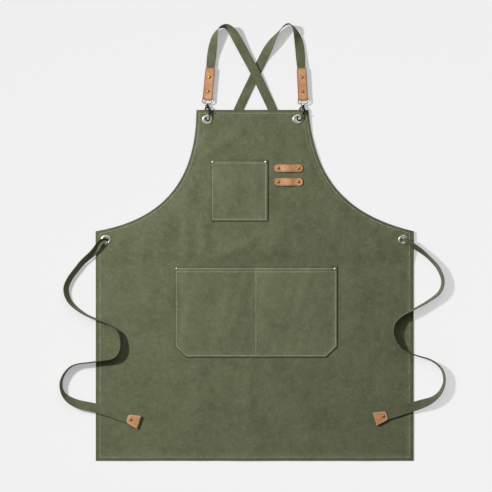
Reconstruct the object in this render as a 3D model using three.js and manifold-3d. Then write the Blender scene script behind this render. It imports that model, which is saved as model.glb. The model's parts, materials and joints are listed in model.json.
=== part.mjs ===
// Cross-back canvas work apron, laid flat with its front up and its bib towards +Y.
// Millimetres, +Z up. The origin is on the surface under the middle of the apron.
//
// Each shoulder strap is one long tape: it starts in a riveted leather tab with a swivel
// bolt snap, loops over the top, crosses the other strap, runs behind the bib to the
// opposite waist eyelet, comes through it to the front and ends as a free waist tie.

import * as THREE from 'three';
import { mergeVertices } from 'three/addons/utils/BufferGeometryUtils.js';
import Module from 'manifold-3d';

const wasm = await Module();
wasm.setup();

// ---------------------------------------------------------------- driving dimensions

const GAP = 0.3; // between pieces that touch

const body = {
  halfWidth: 343.5,
  hemY: -425,
  waistY: 71,
  bibTopY: 333,
  bibHalfWidth: 121,
  bibLean: -5, // the bib lies a little to the left
  leftRise: 27, // of each armhole curve's control point above the waist
  rightRise: 38.5,
  leftFlank: 6, // how far each armhole's other control point is outside the bib
  rightFlank: 8.5,
};
const cloth = { thickness: 1.0, hemWidth: 12, hemThickness: 2.4 };
// the upper part lies on the straps and snap hooks, so it is higher than the skirt
const lift = { startY: -4, endY: 36, height: 4.4 };

const eyelet = {
  holeRadius: 6,
  flangeRadius: 11.5,
  metal: 0.9,
  waistX: 321,
  waistY: 52,
  bibLeft: [-102.2, 311.7],
  bibRight: [93, 312.5],
};

// cutLeft and cutRight: how far the slanting cut at each bottom corner reaches along the bottom
const chestPocket = { left: -95, right: 28.5, bottom: 92.5, top: 225, cutLeft: 0, cutRight: 0, cutHeight: 0 };
const waistPocket = { left: -173, right: 178.5, bottom: -201.5, top: -5.7, cutLeft: 25, cutRight: 25, cutHeight: 23 };
const pocketSeam = 8.5;
const pocketRun = 5; // how far the pocket front slopes before it is level
const pocketRoom = 5.4;
const waistPocketDividerX = 2.7;
const rivetInset = 4.6; // from a pocket's top corner

const toolLoop = { centreX: 72.9, upperY: 207, lowerY: 177.5, length: 62, width: 17, leather: 2.2, room: 3.6 };
const toolLoopRivet = 22;

const rivet = { headRadius: 3.2, headHeight: 1.5, shankRadius: 1.3, tailRadius: 2.6, tailHeight: 0.8 };

const tape = { width: 20, thickness: 1.6 };

const strapTab = { width: 21, topWidth: 19.5, top: 78.1, leather: 1.8, rivets: [27, 57.5] };
const tieEnd = { neck: 21, flare: 29, length: 28, leather: 1.5, overlap: 14 };

// swivel bolt snap: the ring lies in a plane that is tilted about the shank
const snap = {
  axisHeight: 7.3,
  ringTilt: 50,
  ringHalf: 7,
  wire: 1.65,
  noseY: 10.8,
  sleeveRadius: 2.9,
  sleeveLow: 15.6,
  sleeveHigh: 27.8,
  collarRadius: 3.8,
  collarLow: 27.4,
  collarHigh: 34.6,
  stem: 1.5,
  boltRadius: 1.2,
  boltTop: 18.8,
  studY: 17.6,
  travel: 4.8,
  loopY: 37,
  loopWire: 1.35,
  loopHalf: 12.1,
  barAbove: 11,
};
// where each snap's ring goes through its eyelet, the turn of its shank, the turn of its tab
const leftSnap = { side: 'left', at: [-101.1, 309.4], shankTurn: 3, tabTurn: -5.5 };
const rightSnap = { side: 'right', at: [94.7, 310], shankTurn: -16, tabTurn: 3 };

// Tape routes: x, y, z, roll in degrees (0 is flat, 90 is on edge), width.
const leftStrapRoute = [
  [-95.3, 428.5, 7.3, 0, 18],
  [-93.2, 448, 5.4, -8, 20],
  [-90, 472, 8.4, -28, 20],
  [-85, 494, 12.4, -60, 20],
  [-76, 508.5, 15, -90, 20],
  [-62.5, 512.5, 15, -112, 20],
  [-50.5, 504, 12.6, -138, 20],
  [-38, 485, 9.2, -166, 20],
  [-22, 456, 6.8, -178, 20],
  [1.8, 412, 5.6, -180, 20],
  [22, 370, 3, -180, 20],
  [40, 331, 1.3, -180, 20],
  [60, 280, 1.1, -180, 20],
  [96, 205, 1.1, -180, 20],
  [160, 130, 1.1, -180, 20],
  [232, 78, 1.1, -180, 20],
  [285, 56, 1.2, -180, 18],
  [305, 52.8, 1.4, -180, 10],
  [315, 52.1, 1.6, -180, 8],
  [321.2, 52, 5.9, -180, 7],
  [326.4, 51.5, 10.2, -180, 9],
  [336, 48, 11.5, -165, 12],
  [352, 39, 13.2, -128, 18],
  [374, 20, 11.2, -109, 20],
  [396, -9, 10.3, -106, 20],
  [405.6, -36, 10.3, -103, 20],
  [398, -61, 10.3, -102, 20],
  [372, -81, 10.8, -98, 20],
  [343, -97.3, 12.7, -94, 20],
  [315, -113, 12.9, -92, 20],
  [300, -131, 12.9, -92, 20],
  [300, -156, 12.9, -92, 20],
  [315, -182, 12.9, -94, 20],
  [345, -195.5, 12.4, -96, 20],
  [381, -207.5, 10.6, -97, 20],
  [405, -230, 10.3, -98, 20],
  [407, -262, 10.3, -99, 20],
  [386, -290, 9.8, -118, 20],
  [340, -308.5, 6.6, -172, 20],
  [272, -330, 6.4, -180, 20],
];
const rightStrapRoute = [
  [100.1, 428.5, 7.3, 0, 18],
  [98.9, 446, 5.2, 0, 20],
  [96.6, 470, 6, 12, 20],
  [92.2, 490, 9.4, 38, 20],
  [85, 507, 13, 68, 20],
  [75, 517, 15.4, 88, 20],
  [63, 513, 15.4, 90, 20],
  [49, 497, 12.6, 78, 20],
  [35, 476, 8.6, 42, 20],
  [21, 450, 2.6, 8, 20],
  [2.5, 412, 1, 0, 20],
  [-18, 370, 1.1, 0, 20],
  [-36, 331, 1.1, 0, 20],
  [-58, 280, 1.1, 0, 20],
  [-96, 205, 1.1, 0, 20],
  [-160, 130, 1.1, 0, 20],
  [-232, 78, 1.1, 0, 20],
  [-285, 56, 1.2, 0, 18],
  [-305, 52.8, 1.4, 0, 10],
  [-315, 52.1, 1.6, 0, 8],
  [-321.2, 52, 5.9, 0, 7],
  [-326.4, 51.2, 10.2, 0, 9],
  [-335.5, 45, 11.5, -14, 12],
  [-349, 27, 12.8, -42, 18],
  [-374, 1, 10.4, -58, 20],
  [-399, -32, 10.2, -60, 20],
  [-406.7, -57, 10.2, -60, 20],
  [-396, -84, 10.2, -70, 20],
  [-364, -109, 12.8, -82, 20],
  [-318, -128, 13.2, -88, 20],
  [-295, -147, 12.9, -90, 20],
  [-289.5, -178, 12.9, -90, 20],
  [-303, -202, 12.9, -88, 20],
  [-345, -210.6, 12.4, -82, 20],
  [-393, -219, 10.2, -84, 20],
  [-416, -248, 10.3, -80, 20],
  [-413, -279, 10.2, -73, 20],
  [-386, -300, 8.2, -34, 20],
  [-335, -313, 6.6, -4, 20],
  [-262, -337, 6.4, 0, 20],
];

// ---------------------------------------------------------------- materials

function paint(colour, roughness, metalness = 0) {
  return new THREE.MeshStandardMaterial({ color: colour, roughness, metalness });
}
const canvas = paint(0x67734f, 0.9);
const canvasPocket = paint(0x6d7857, 0.9);
const webbing = paint(0x6b7552, 0.85);
const leather = paint(0xc0814f, 0.6);
const nickel = paint(0xc9c9bd, 0.28, 1);
const brass = paint(0x8a6a3c, 0.4, 1);
const gunmetal = paint(0x4a4a48, 0.35, 1);

// ---------------------------------------------------------------- building tools

const radians = THREE.MathUtils.degToRad;

function solidOf(geometry) {
  const bare = new THREE.BufferGeometry();
  bare.setAttribute('position', geometry.getAttribute('position').clone());
  if (geometry.index) {
    bare.setIndex(geometry.index.clone());
  }
  const merged = mergeVertices(bare, 1e-4);
  const index = merged.index.array;
  const triangles = [];
  for (let i = 0; i < index.length; i += 3) {
    const [a, b, c] = [index[i], index[i + 1], index[i + 2]];
    if (a !== b && b !== c && c !== a) {
      triangles.push(a, b, c);
    }
  }
  return new wasm.Manifold(new wasm.Mesh({
    numProp: 3,
    vertProperties: new Float32Array(merged.getAttribute('position').array),
    triVerts: new Uint32Array(triangles),
  }));
}

function geometryOf(solid) {
  const mesh = solid.getMesh();
  const geometry = new THREE.BufferGeometry();
  geometry.setAttribute('position', new THREE.BufferAttribute(new Float32Array(mesh.vertProperties), 3));
  geometry.setIndex(new THREE.BufferAttribute(new Uint32Array(mesh.triVerts), 1));
  geometry.computeVertexNormals();
  return geometry;
}

function addPiece(parent, name, solid, material) {
  const mesh = new THREE.Mesh(geometryOf(solid), material);
  mesh.name = name;
  parent.add(mesh);
  return mesh;
}

function prism(points, low, high) {
  const shape = new THREE.Shape(points);
  const geometry = new THREE.ExtrudeGeometry(shape, { depth: high - low, bevelEnabled: false });
  return solidOf(geometry.translate(0, 0, low));
}

function drum(x, y, radius, low, high, segments = 24) {
  const geometry = new THREE.CylinderGeometry(radius, radius, high - low, segments);
  geometry.rotateX(Math.PI / 2);
  return solidOf(geometry.translate(x, y, (low + high) / 2));
}

// a round bar along +Y
function bar(x, z, radius, low, high, segments = 16) {
  const geometry = new THREE.CylinderGeometry(radius, radius, high - low, segments);
  return solidOf(geometry.translate(x, (low + high) / 2, z));
}

function box(low, high) {
  const size = high.map((value, i) => value - low[i]);
  const geometry = new THREE.BoxGeometry(...size);
  return solidOf(geometry.translate(...low.map((value, i) => value + size[i] / 2)));
}

// a turned piece about the Z axis; profile points are [radius, z]
function turned(profile, segments) {
  const points = profile.map(([radius, z]) => new THREE.Vector2(radius, z));
  return solidOf(new THREE.LatheGeometry(points, segments).rotateX(Math.PI / 2));
}

function tube(points, radius, steps, sides = 8) {
  const circle = new THREE.Shape();
  circle.absarc(0, 0, radius, 0, 2 * Math.PI);
  const path = new THREE.CatmullRomCurve3(points.map((point) => new THREE.Vector3(...point)));
  const outline = new THREE.Shape(circle.getPoints(sides / 2).slice(0, -1));
  return solidOf(new THREE.ExtrudeGeometry(outline, { steps, extrudePath: path }));
}

// a solid between two outlines with the same number of points
function loft(lower, upper, low, high) {
  const count = lower.length;
  const positions = [];
  lower.forEach((point) => positions.push(point.x, point.y, low));
  upper.forEach((point) => positions.push(point.x, point.y, high));
  const index = [];
  THREE.ShapeUtils.triangulateShape(lower, []).forEach(([a, b, c]) => index.push(a, c, b));
  THREE.ShapeUtils.triangulateShape(upper, []).forEach(([a, b, c]) => index.push(a + count, b + count, c + count));
  for (let i = 0; i < count; i += 1) {
    const next = (i + 1) % count;
    index.push(i, next, next + count, i, next + count, i + count);
  }
  const geometry = new THREE.BufferGeometry();
  geometry.setAttribute('position', new THREE.Float32BufferAttribute(positions, 3));
  geometry.setIndex(index);
  return solidOf(geometry);
}

// moves each corner of an anticlockwise outline inwards by a distance
function inset(points, distance) {
  return points.map((point, i) => {
    const before = points[(i + points.length - 1) % points.length];
    const after = points[(i + 1) % points.length];
    const into = new THREE.Vector2().subVectors(point, before).normalize();
    const out = new THREE.Vector2().subVectors(after, point).normalize();
    const normalIn = new THREE.Vector2(-into.y, into.x);
    const normalOut = new THREE.Vector2(-out.y, out.x);
    const reach = distance / (1 + normalIn.dot(normalOut));
    return point.clone().addScaledVector(normalIn.add(normalOut), reach);
  });
}

// ---------------------------------------------------------------- apron panel

function liftAt(y) {
  const part = (y - lift.startY) / (lift.endY - lift.startY);
  return lift.height * Math.min(1, Math.max(0, part));
}

function apronOutline() {
  const { halfWidth, hemY, waistY, bibTopY, bibHalfWidth, bibLean } = body;
  const { leftRise, rightRise, leftFlank, rightFlank } = body;
  const flankY = bibTopY - 141;
  const shape = new THREE.Shape();
  shape.moveTo(-halfWidth, hemY);
  shape.lineTo(halfWidth, hemY);
  shape.lineTo(halfWidth, waistY);
  shape.bezierCurveTo(
    halfWidth - 158, waistY + rightRise,
    bibHalfWidth + rightFlank, flankY,
    bibHalfWidth + bibLean, bibTopY,
  );
  shape.lineTo(-bibHalfWidth + bibLean, bibTopY);
  shape.bezierCurveTo(
    -bibHalfWidth - leftFlank, flankY,
    -halfWidth + 158, waistY + leftRise,
    -halfWidth, waistY,
  );
  return shape.getPoints(14);
}

const bigSide = 1000;
const front = cloth.hemThickness;

function raise(flat, lowY, highY) {
  const zone = flat.intersect(box([-bigSide, lowY, -50], [bigSide, highY, 50]));
  const mesh = zone.getMesh();
  const vertices = new Float32Array(mesh.vertProperties);
  for (let i = 0; i < vertices.length; i += 3) {
    vertices[i + 2] += liftAt(vertices[i + 1]);
  }
  return new wasm.Manifold(new wasm.Mesh({ numProp: 3, vertProperties: vertices, triVerts: mesh.triVerts }));
}

const eyeletPlaces = {
  bib_eyelet_left: eyelet.bibLeft,
  bib_eyelet_right: eyelet.bibRight,
  waist_eyelet_left: [-eyelet.waistX, eyelet.waistY],
  waist_eyelet_right: [eyelet.waistX, eyelet.waistY],
};
const panelRivets = {
  chest_pocket_rivet_left: [chestPocket.left + rivetInset, chestPocket.top - rivetInset],
  chest_pocket_rivet_right: [chestPocket.right - rivetInset, chestPocket.top - rivetInset],
  waist_pocket_rivet_left: [waistPocket.left + rivetInset, waistPocket.top - rivetInset],
  waist_pocket_rivet_right: [waistPocket.right - rivetInset, waistPocket.top - rivetInset],
};
const loopRivets = {
  upper_tool_loop_rivet_left: [toolLoop.centreX - toolLoopRivet, toolLoop.upperY],
  upper_tool_loop_rivet_right: [toolLoop.centreX + toolLoopRivet, toolLoop.upperY],
  lower_tool_loop_rivet_left: [toolLoop.centreX - toolLoopRivet, toolLoop.lowerY],
  lower_tool_loop_rivet_right: [toolLoop.centreX + toolLoopRivet, toolLoop.lowerY],
};

function buildPanel() {
  const outline = apronOutline();
  let flat = prism(outline, 0, front);
  flat = flat.subtract(prism(inset(outline, cloth.hemWidth), -1, front - cloth.thickness));
  for (const [x, y] of Object.values(eyeletPlaces)) {
    flat = flat.subtract(drum(x, y, eyelet.holeRadius + 1.1, -1, front + 1));
    flat = flat.subtract(drum(x, y, eyelet.flangeRadius + 0.5, -1, front - cloth.thickness));
  }
  for (const [x, y] of [...Object.values(panelRivets), ...Object.values(loopRivets)]) {
    flat = flat.subtract(drum(x, y, rivet.shankRadius + GAP, -1, front + 1, 12));
  }
  return raise(flat, -bigSide, lift.startY)
    .add(raise(flat, lift.startY, lift.endY))
    .add(raise(flat, lift.endY, bigSide));
}

// ---------------------------------------------------------------- pockets

function pocketOutline({ left, right, bottom, top, cutLeft, cutRight, cutHeight }) {
  const corners = [[left + cutLeft, bottom], [right - cutRight, bottom]];
  if (cutRight > 0) {
    corners.push([right, bottom + cutHeight]);
  }
  corners.push([right, top], [left, top]);
  if (cutLeft > 0) {
    corners.push([left, bottom + cutHeight]);
  }
  return corners.map(([x, y]) => new THREE.Vector2(x, y));
}

// a raised front with sloping sides, open along its top edge
function pocketFront(outline, low, room, top) {
  const foot = inset(outline, pocketSeam);
  const level = inset(outline, pocketSeam + pocketRun);
  const nearTop = top - 2 * (pocketSeam + pocketRun);
  const toMouth = (points, reach) => points.map((point) => {
    return point.y > nearTop ? new THREE.Vector2(point.x, top + reach) : point;
  });
  const inner = 1.1; // narrower inside, so that the sloping wall keeps its thickness
  const outer = loft(toMouth(foot, 0), toMouth(level, 0), low, low + room);
  const hollow = loft(
    toMouth(inset(outline, pocketSeam + inner), 5),
    toMouth(inset(outline, pocketSeam + pocketRun + inner), 5),
    low - 2 * cloth.thickness,
    low + room - cloth.thickness,
  );
  return { outer, hollow };
}

function buildPocket(size, base, compartments, rivets) {
  const low = base + GAP;
  const high = low + cloth.thickness;
  const outline = pocketOutline(size);
  let pocket = prism(outline, low, high);
  const fronts = compartments.map((part) => {
    return pocketFront(pocketOutline(part), low, pocketRoom + cloth.thickness, size.top);
  });
  fronts.forEach(({ outer }) => { pocket = pocket.add(outer); });
  fronts.forEach(({ hollow }) => { pocket = pocket.subtract(hollow); });
  rivets.forEach(([x, y]) => {
    pocket = pocket.subtract(drum(x, y, rivet.shankRadius + GAP, low - 1, high + 9, 12));
  });
  return pocket;
}

function compartmentsOf(size, dividerX) {
  const overlap = pocketSeam - 3;
  const left = { ...size, right: dividerX + overlap, cutRight: 0 };
  const right = { ...size, left: dividerX - overlap, cutLeft: 0 };
  return [left, right];
}

// ---------------------------------------------------------------- leather tool loops

function buildToolLoop(y, base) {
  const half = toolLoop.length / 2;
  const thickness = toolLoop.leather;
  const low = base + GAP;
  const crest = base + toolLoop.room;
  const side = new THREE.Shape();
  side.moveTo(-half, low);
  side.lineTo(-17.5, low);
  side.bezierCurveTo(-14, low, -14, crest, -10, crest);
  side.lineTo(10, crest);
  side.bezierCurveTo(14, crest, 14, low, 17.5, low);
  side.lineTo(half, low);
  side.lineTo(half, low + thickness);
  side.lineTo(17.5, low + thickness);
  side.bezierCurveTo(15.5, low + thickness, 14.5, crest + thickness, 10, crest + thickness);
  side.lineTo(-10, crest + thickness);
  side.bezierCurveTo(-14.5, crest + thickness, -15.5, low + thickness, -17.5, low + thickness);
  side.lineTo(-half, low + thickness);
  const strip = new THREE.ExtrudeGeometry(side, { depth: toolLoop.width, bevelEnabled: false, curveSegments: 5 });
  strip.rotateX(Math.PI / 2);
  strip.translate(toolLoop.centreX, y + toolLoop.width / 2, 0);
  const plan = new THREE.Shape();
  const turn = toolLoop.width / 2 - 1.5;
  const straight = half - turn;
  plan.moveTo(-straight, -toolLoop.width / 2);
  plan.lineTo(straight, -toolLoop.width / 2);
  plan.absellipse(straight, 0, turn, toolLoop.width / 2, -Math.PI / 2, Math.PI / 2, false);
  plan.lineTo(-straight, toolLoop.width / 2);
  plan.absellipse(-straight, 0, turn, toolLoop.width / 2, Math.PI / 2, (3 * Math.PI) / 2, false);
  const points = plan.getPoints(8).map((point) => new THREE.Vector2(point.x + toolLoop.centreX, point.y + y));
  let loop = solidOf(strip).intersect(prism(points.slice(0, -1), low - 5, crest + 10));
  for (const x of [-toolLoopRivet, toolLoopRivet]) {
    loop = loop.subtract(drum(toolLoop.centreX + x, y, rivet.shankRadius + GAP, low - 5, crest + 10, 12));
  }
  return loop;
}

// ---------------------------------------------------------------- metal pieces

// tail, shank and domed head, through material from low to high
function buildRivet(low, high) {
  const tail = low - GAP - rivet.tailHeight;
  const head = high + GAP;
  return turned([
    [0, tail],
    [rivet.tailRadius, tail],
    [rivet.tailRadius, low - GAP],
    [rivet.shankRadius, low - GAP],
    [rivet.shankRadius, head],
    [rivet.headRadius, head],
    [rivet.headRadius * 0.8, head + rivet.headHeight * 0.65],
    [rivet.headRadius * 0.4, head + rivet.headHeight * 0.95],
    [0, head + rivet.headHeight],
  ], 12);
}

function buildEyelet(panelFront) {
  const { holeRadius, flangeRadius, metal } = eyelet;
  const seat = panelFront + GAP;
  const barrel = holeRadius + 0.8;
  const lipTop = panelFront - cloth.thickness - 2 * GAP - 0.8;
  return turned([
    [holeRadius, lipTop - 0.5],
    [holeRadius + 2.3, lipTop - 0.5],
    [holeRadius + 2.3, lipTop],
    [barrel, lipTop],
    [barrel, seat],
    [flangeRadius, seat],
    [flangeRadius - 1.6, seat + metal],
    [holeRadius + 0.8, seat + metal],
    [holeRadius, seat + metal * 0.3],
    [holeRadius, lipTop - 0.5],
  ], 24);
}

function buildWasher(panelFront) {
  const high = panelFront - cloth.thickness - GAP;
  return turned([
    [eyelet.holeRadius + 1.1, high - 0.8],
    [eyelet.flangeRadius, high - 0.8],
    [eyelet.flangeRadius, high],
    [eyelet.holeRadius + 1.1, high],
    [eyelet.holeRadius + 1.1, high - 0.8],
  ], 24);
}

// ---------------------------------------------------------------- swivel bolt snap

const ringTilt = radians(snap.ringTilt);

// snap body, in the ring's own plane: x across the ring, y along the shank
function buildSnapBody() {
  const half = snap.ringHalf;
  const bottomArc = [];
  const arcSteps = 8;
  for (let i = 0; i <= arcSteps; i += 1) {
    const angle = Math.PI + (i / arcSteps) * Math.PI;
    bottomArc.push([half * Math.cos(angle), half + half * Math.sin(angle), 0]);
  }
  const spine = [[0, 30, 0], [-4.8, 28.4, 0], [-half, 23.5, 0], [-half, 15, 0], ...bottomArc, [half, snap.noseY, 0]];
  let hook = tube(spine, snap.wire, 26, 10);
  hook = hook.add(tube([[0, 31, 0], [4.6, 30, 0], [half, 26.5, 0]], snap.wire, 6, 10));
  hook = hook.add(bar(half, 0, snap.sleeveRadius, snap.sleeveLow, snap.sleeveHigh));
  hook = hook.add(bar(0, 0, snap.collarRadius, snap.collarLow, snap.collarHigh, 20));
  hook = hook.subtract(bar(0, 0, snap.stem + GAP, snap.collarLow - 5, snap.collarHigh + 5, 20));
  hook = hook.subtract(bar(half, 0, snap.boltRadius + GAP, snap.sleeveLow - 1, snap.sleeveHigh - 1.4));
  const slot = box([half, snap.studY - 1.4, -1.25], [half + 5, snap.studY + snap.travel + 1.4, 1.25]);
  return hook.subtract(slot);
}

function buildBolt() {
  const rod = bar(snap.ringHalf, 0, snap.boltRadius, snap.noseY + GAP, snap.boltTop);
  const stud = new THREE.CylinderGeometry(0.9, 0.9, 5.6, 12);
  stud.rotateZ(Math.PI / 2);
  stud.translate(snap.ringHalf + 2.8, snap.studY, 0);
  const knob = new THREE.SphereGeometry(1.5, 12, 8);
  knob.translate(snap.ringHalf + 5.6, snap.studY, 0);
  return rod.add(solidOf(stud)).add(solidOf(knob));
}

function buildBoltSpring() {
  const turns = 4;
  const perTurn = 8;
  const low = snap.boltTop + GAP + 0.2;
  const high = snap.sleeveHigh - 1.4 - GAP - 0.2;
  const points = [];
  for (let i = 0; i <= turns * perTurn; i += 1) {
    const angle = (i / perTurn) * 2 * Math.PI;
    const y = low + ((high - low) * i) / (turns * perTurn);
    points.push([snap.ringHalf + Math.cos(angle), y, Math.sin(angle)]);
  }
  return tube(points, 0.2, turns * perTurn, 4);
}

// D loop and headed stem in one piece, turned to lie in line with the leather tab
function buildSwivelEye(tabTurn) {
  const half = snap.loopHalf;
  const quarter = [[0, 0], [5, 0.4], [9, 1.9], [11.3, 4.4], [half, 7.2], [half, 9.2], [11.4, 10.6], [10, 11], [8, 11]];
  const halfLoop = (sign) => {
    const start = [-0.6 * sign, 0, 0];
    const end = [-0.6 * sign, snap.barAbove, 0];
    return tube([start, ...quarter.slice(1).map(([x, y]) => [x * sign, y, 0]), end], snap.loopWire, 18, 8);
  };
  const loop = halfLoop(1).add(halfLoop(-1));
  const turnedLoop = loop.rotate([0, 0, tabTurn]).translate([0, snap.loopY, 0]);
  const stem = bar(0, 0, snap.stem, 25.5, snap.loopY, 16);
  const head = bar(0, 0, 2.6, 24.9, 26.9, 16);
  return turnedLoop.add(stem).add(head);
}

// ---------------------------------------------------------------- leather strap tab

// folded round the loop's bar; x across, y along the strap, z through, origin at the loop
function buildStrapTab() {
  const outer = snap.loopWire + 0.55 + strapTab.leather;
  const inner = outer - strapTab.leather;
  const barY = snap.barAbove;
  const outerHalf = 1.1 + strapTab.leather;
  const side = new THREE.Shape();
  side.moveTo(strapTab.top, outerHalf);
  side.lineTo(barY + 9, outerHalf);
  side.lineTo(barY, outer);
  side.absarc(barY, 0, outer, Math.PI / 2, (3 * Math.PI) / 2, false);
  side.lineTo(barY + 9, -outerHalf);
  side.lineTo(strapTab.top, -outerHalf);
  side.lineTo(strapTab.top, -1.1);
  side.lineTo(barY + 9, -1.1);
  side.lineTo(barY, -inner);
  side.absarc(barY, 0, inner, (3 * Math.PI) / 2, Math.PI / 2, true);
  side.lineTo(barY + 9, 1.1);
  side.lineTo(strapTab.top, 1.1);
  const geometry = new THREE.ExtrudeGeometry(side, { depth: strapTab.width, bevelEnabled: false, curveSegments: 12 });
  const turn = new THREE.Matrix4().makeBasis(
    new THREE.Vector3(0, 1, 0),
    new THREE.Vector3(0, 0, 1),
    new THREE.Vector3(1, 0, 0),
  );
  geometry.applyMatrix4(turn).translate(-strapTab.width / 2, 0, 0);
  const half = strapTab.width / 2;
  const plan = [[-half, 0], [half, 0], [half, strapTab.top - 7], [strapTab.topWidth / 2, strapTab.top + 1],
    [-strapTab.topWidth / 2, strapTab.top + 1], [-half, strapTab.top - 7]];
  let tab = solidOf(geometry).intersect(prism(plan.map(([x, y]) => new THREE.Vector2(x, y)), -20, 20));
  for (const y of strapTab.rivets) {
    tab = tab.subtract(drum(0, y, rivet.shankRadius + GAP, -20, 20, 12));
  }
  return tab;
}

function addSnap({ side, at, shankTurn, tabTurn }, parent) {
  const shank = new THREE.Group();
  shank.position.set(at[0], at[1], snap.axisHeight);
  shank.rotation.z = radians(shankTurn);
  parent.add(shank);

  const ring = new THREE.Group();
  ring.rotation.y = -ringTilt;
  shank.add(ring);
  addPiece(ring, `${side}_snap_body`, buildSnapBody(), gunmetal);
  addPiece(ring, `${side}_snap_bolt`, buildBolt(), gunmetal);
  addPiece(ring, `${side}_snap_spring`, buildBoltSpring(), nickel);

  addPiece(shank, `${side}_swivel_eye`, buildSwivelEye(tabTurn - shankTurn), nickel);
  const tabGroup = new THREE.Group();
  tabGroup.position.set(0, snap.loopY, 0);
  tabGroup.rotation.z = radians(tabTurn - shankTurn);
  shank.add(tabGroup);
  addPiece(tabGroup, `${side}_strap_tab`, buildStrapTab(), leather);
  const grip = 1.1 + strapTab.leather;
  ['lower', 'upper'].forEach((place, i) => {
    const mesh = addPiece(tabGroup, `${side}_strap_tab_rivet_${place}`, buildRivet(-grip, grip), brass);
    mesh.position.set(0, strapTab.rivets[i], 0);
  });
}

// ---------------------------------------------------------------- tapes and their leather ends

function buildTape(route) {
  const along = new THREE.CatmullRomCurve3(route.map(([x, y, z]) => new THREE.Vector3(x, y, z)), false, 'catmullrom', 0.5);
  const manner = new THREE.CatmullRomCurve3(route.map((row) => new THREE.Vector3(row[3], row[4], 0)));
  const perSpan = 2;
  const steps = (route.length - 1) * perSpan;
  const up = new THREE.Vector3(0, 0, 1);
  const positions = [];
  for (let i = 0; i <= steps; i += 1) {
    const t = i / steps;
    const centre = along.getPoint(t);
    const tangent = along.getTangent(t);
    const { x: roll, y: width } = manner.getPoint(t);
    const thickness = width < 16 ? 2.4 : tape.thickness;
    const side = new THREE.Vector3().crossVectors(up, tangent).normalize();
    const rise = new THREE.Vector3().crossVectors(tangent, side).normalize();
    const across = side.clone().multiplyScalar(Math.cos(radians(roll))).addScaledVector(rise, Math.sin(radians(roll)));
    const through = new THREE.Vector3().crossVectors(tangent, across).normalize();
    for (const [a, b] of [[-1, -1], [1, -1], [1, 1], [-1, 1]]) {
      const corner = centre.clone()
        .addScaledVector(across, (a * width) / 2)
        .addScaledVector(through, (b * thickness) / 2);
      positions.push(corner.x, corner.y, corner.z);
    }
  }
  const index = [0, 2, 1, 0, 3, 2];
  for (let i = 0; i < steps; i += 1) {
    for (let j = 0; j < 4; j += 1) {
      const a = i * 4 + j;
      const b = i * 4 + ((j + 1) % 4);
      // both faces are cut along the same diagonal, so that they stay apart where the tape twists
      if (j === 2) {
        index.push(a, b, a + 4, b, b + 4, a + 4);
      } else {
        index.push(a, b, b + 4, a, b + 4, a + 4);
      }
    }
  }
  const last = steps * 4;
  index.push(last, last + 1, last + 2, last, last + 2, last + 3);
  const geometry = new THREE.BufferGeometry();
  geometry.setAttribute('position', new THREE.Float32BufferAttribute(positions, 3));
  geometry.setIndex(index);
  return solidOf(geometry);
}

// folded leather round the tape's end; x along the tie, origin at the tape's end
function buildTieEnd() {
  const gap = tape.thickness / 2 + GAP;
  const outer = gap + tieEnd.leather;
  const back = -tieEnd.overlap;
  const tip = tieEnd.length - tieEnd.overlap;
  const plan = [[back, -tieEnd.neck / 2], [tip - 3, -tieEnd.flare / 2], [tip, -tieEnd.flare / 2 + 4],
    [tip, tieEnd.flare / 2 - 4], [tip - 3, tieEnd.flare / 2], [back, tieEnd.neck / 2]];
  const block = prism(plan.map(([x, y]) => new THREE.Vector2(x, y)), -outer, outer);
  const slot = box([back - 1, -40, -gap], [2, 40, gap]);
  return block.subtract(slot).subtract(drum(-6, 0, rivet.shankRadius + GAP, -20, 20, 12));
}

function addTape(route, tapeName, endName, parent) {
  const [x, y, z] = route[route.length - 1];
  const [beforeX, beforeY] = route[route.length - 2];
  const heading = Math.atan2(y - beforeY, x - beforeX);
  const rivetX = x - 6 * Math.cos(heading);
  const rivetY = y - 6 * Math.sin(heading);
  const strap = buildTape(route).subtract(drum(rivetX, rivetY, rivet.shankRadius + GAP, z - 5, z + 5, 12));
  addPiece(parent, tapeName, strap, webbing);
  const end = addPiece(parent, endName, buildTieEnd(), leather);
  end.position.set(x, y, z);
  end.rotation.z = heading;
  const grip = tape.thickness / 2 + GAP + tieEnd.leather;
  const fastener = addPiece(parent, `${endName}_rivet`, buildRivet(-grip, grip), brass);
  fastener.position.set(rivetX, rivetY, z);
}

// ---------------------------------------------------------------- assembly

const apron = new THREE.Group();
const upperFront = front + lift.height;

addPiece(apron, 'apron_panel', buildPanel(), canvas);

const chestRivets = [panelRivets.chest_pocket_rivet_left, panelRivets.chest_pocket_rivet_right];
addPiece(apron, 'chest_pocket', buildPocket(chestPocket, upperFront, [chestPocket], chestRivets), canvasPocket);
const waistRivets = [panelRivets.waist_pocket_rivet_left, panelRivets.waist_pocket_rivet_right];
const waistParts = compartmentsOf(waistPocket, waistPocketDividerX);
addPiece(apron, 'waist_pocket', buildPocket(waistPocket, front, waistParts, waistRivets), canvasPocket);

addPiece(apron, 'upper_tool_loop', buildToolLoop(toolLoop.upperY, upperFront), leather);
addPiece(apron, 'lower_tool_loop', buildToolLoop(toolLoop.lowerY, upperFront), leather);

for (const [name, [x, y]] of Object.entries(eyeletPlaces)) {
  const grommet = addPiece(apron, name, buildEyelet(upperFront), nickel);
  grommet.position.set(x, y, 0);
  const washer = addPiece(apron, `${name}_washer`, buildWasher(upperFront), nickel);
  washer.position.set(x, y, 0);
}

for (const [name, [x, y]] of Object.entries(panelRivets)) {
  const base = name.startsWith('chest') ? upperFront : front;
  const fastener = addPiece(apron, name, buildRivet(base - cloth.thickness, base + GAP + cloth.thickness), nickel);
  fastener.position.set(x, y, 0);
}

for (const [name, [x, y]] of Object.entries(loopRivets)) {
  const high = upperFront + GAP + toolLoop.leather;
  const fastener = addPiece(apron, name, buildRivet(upperFront - cloth.thickness, high), brass);
  fastener.position.set(x, y, 0);
}

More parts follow.
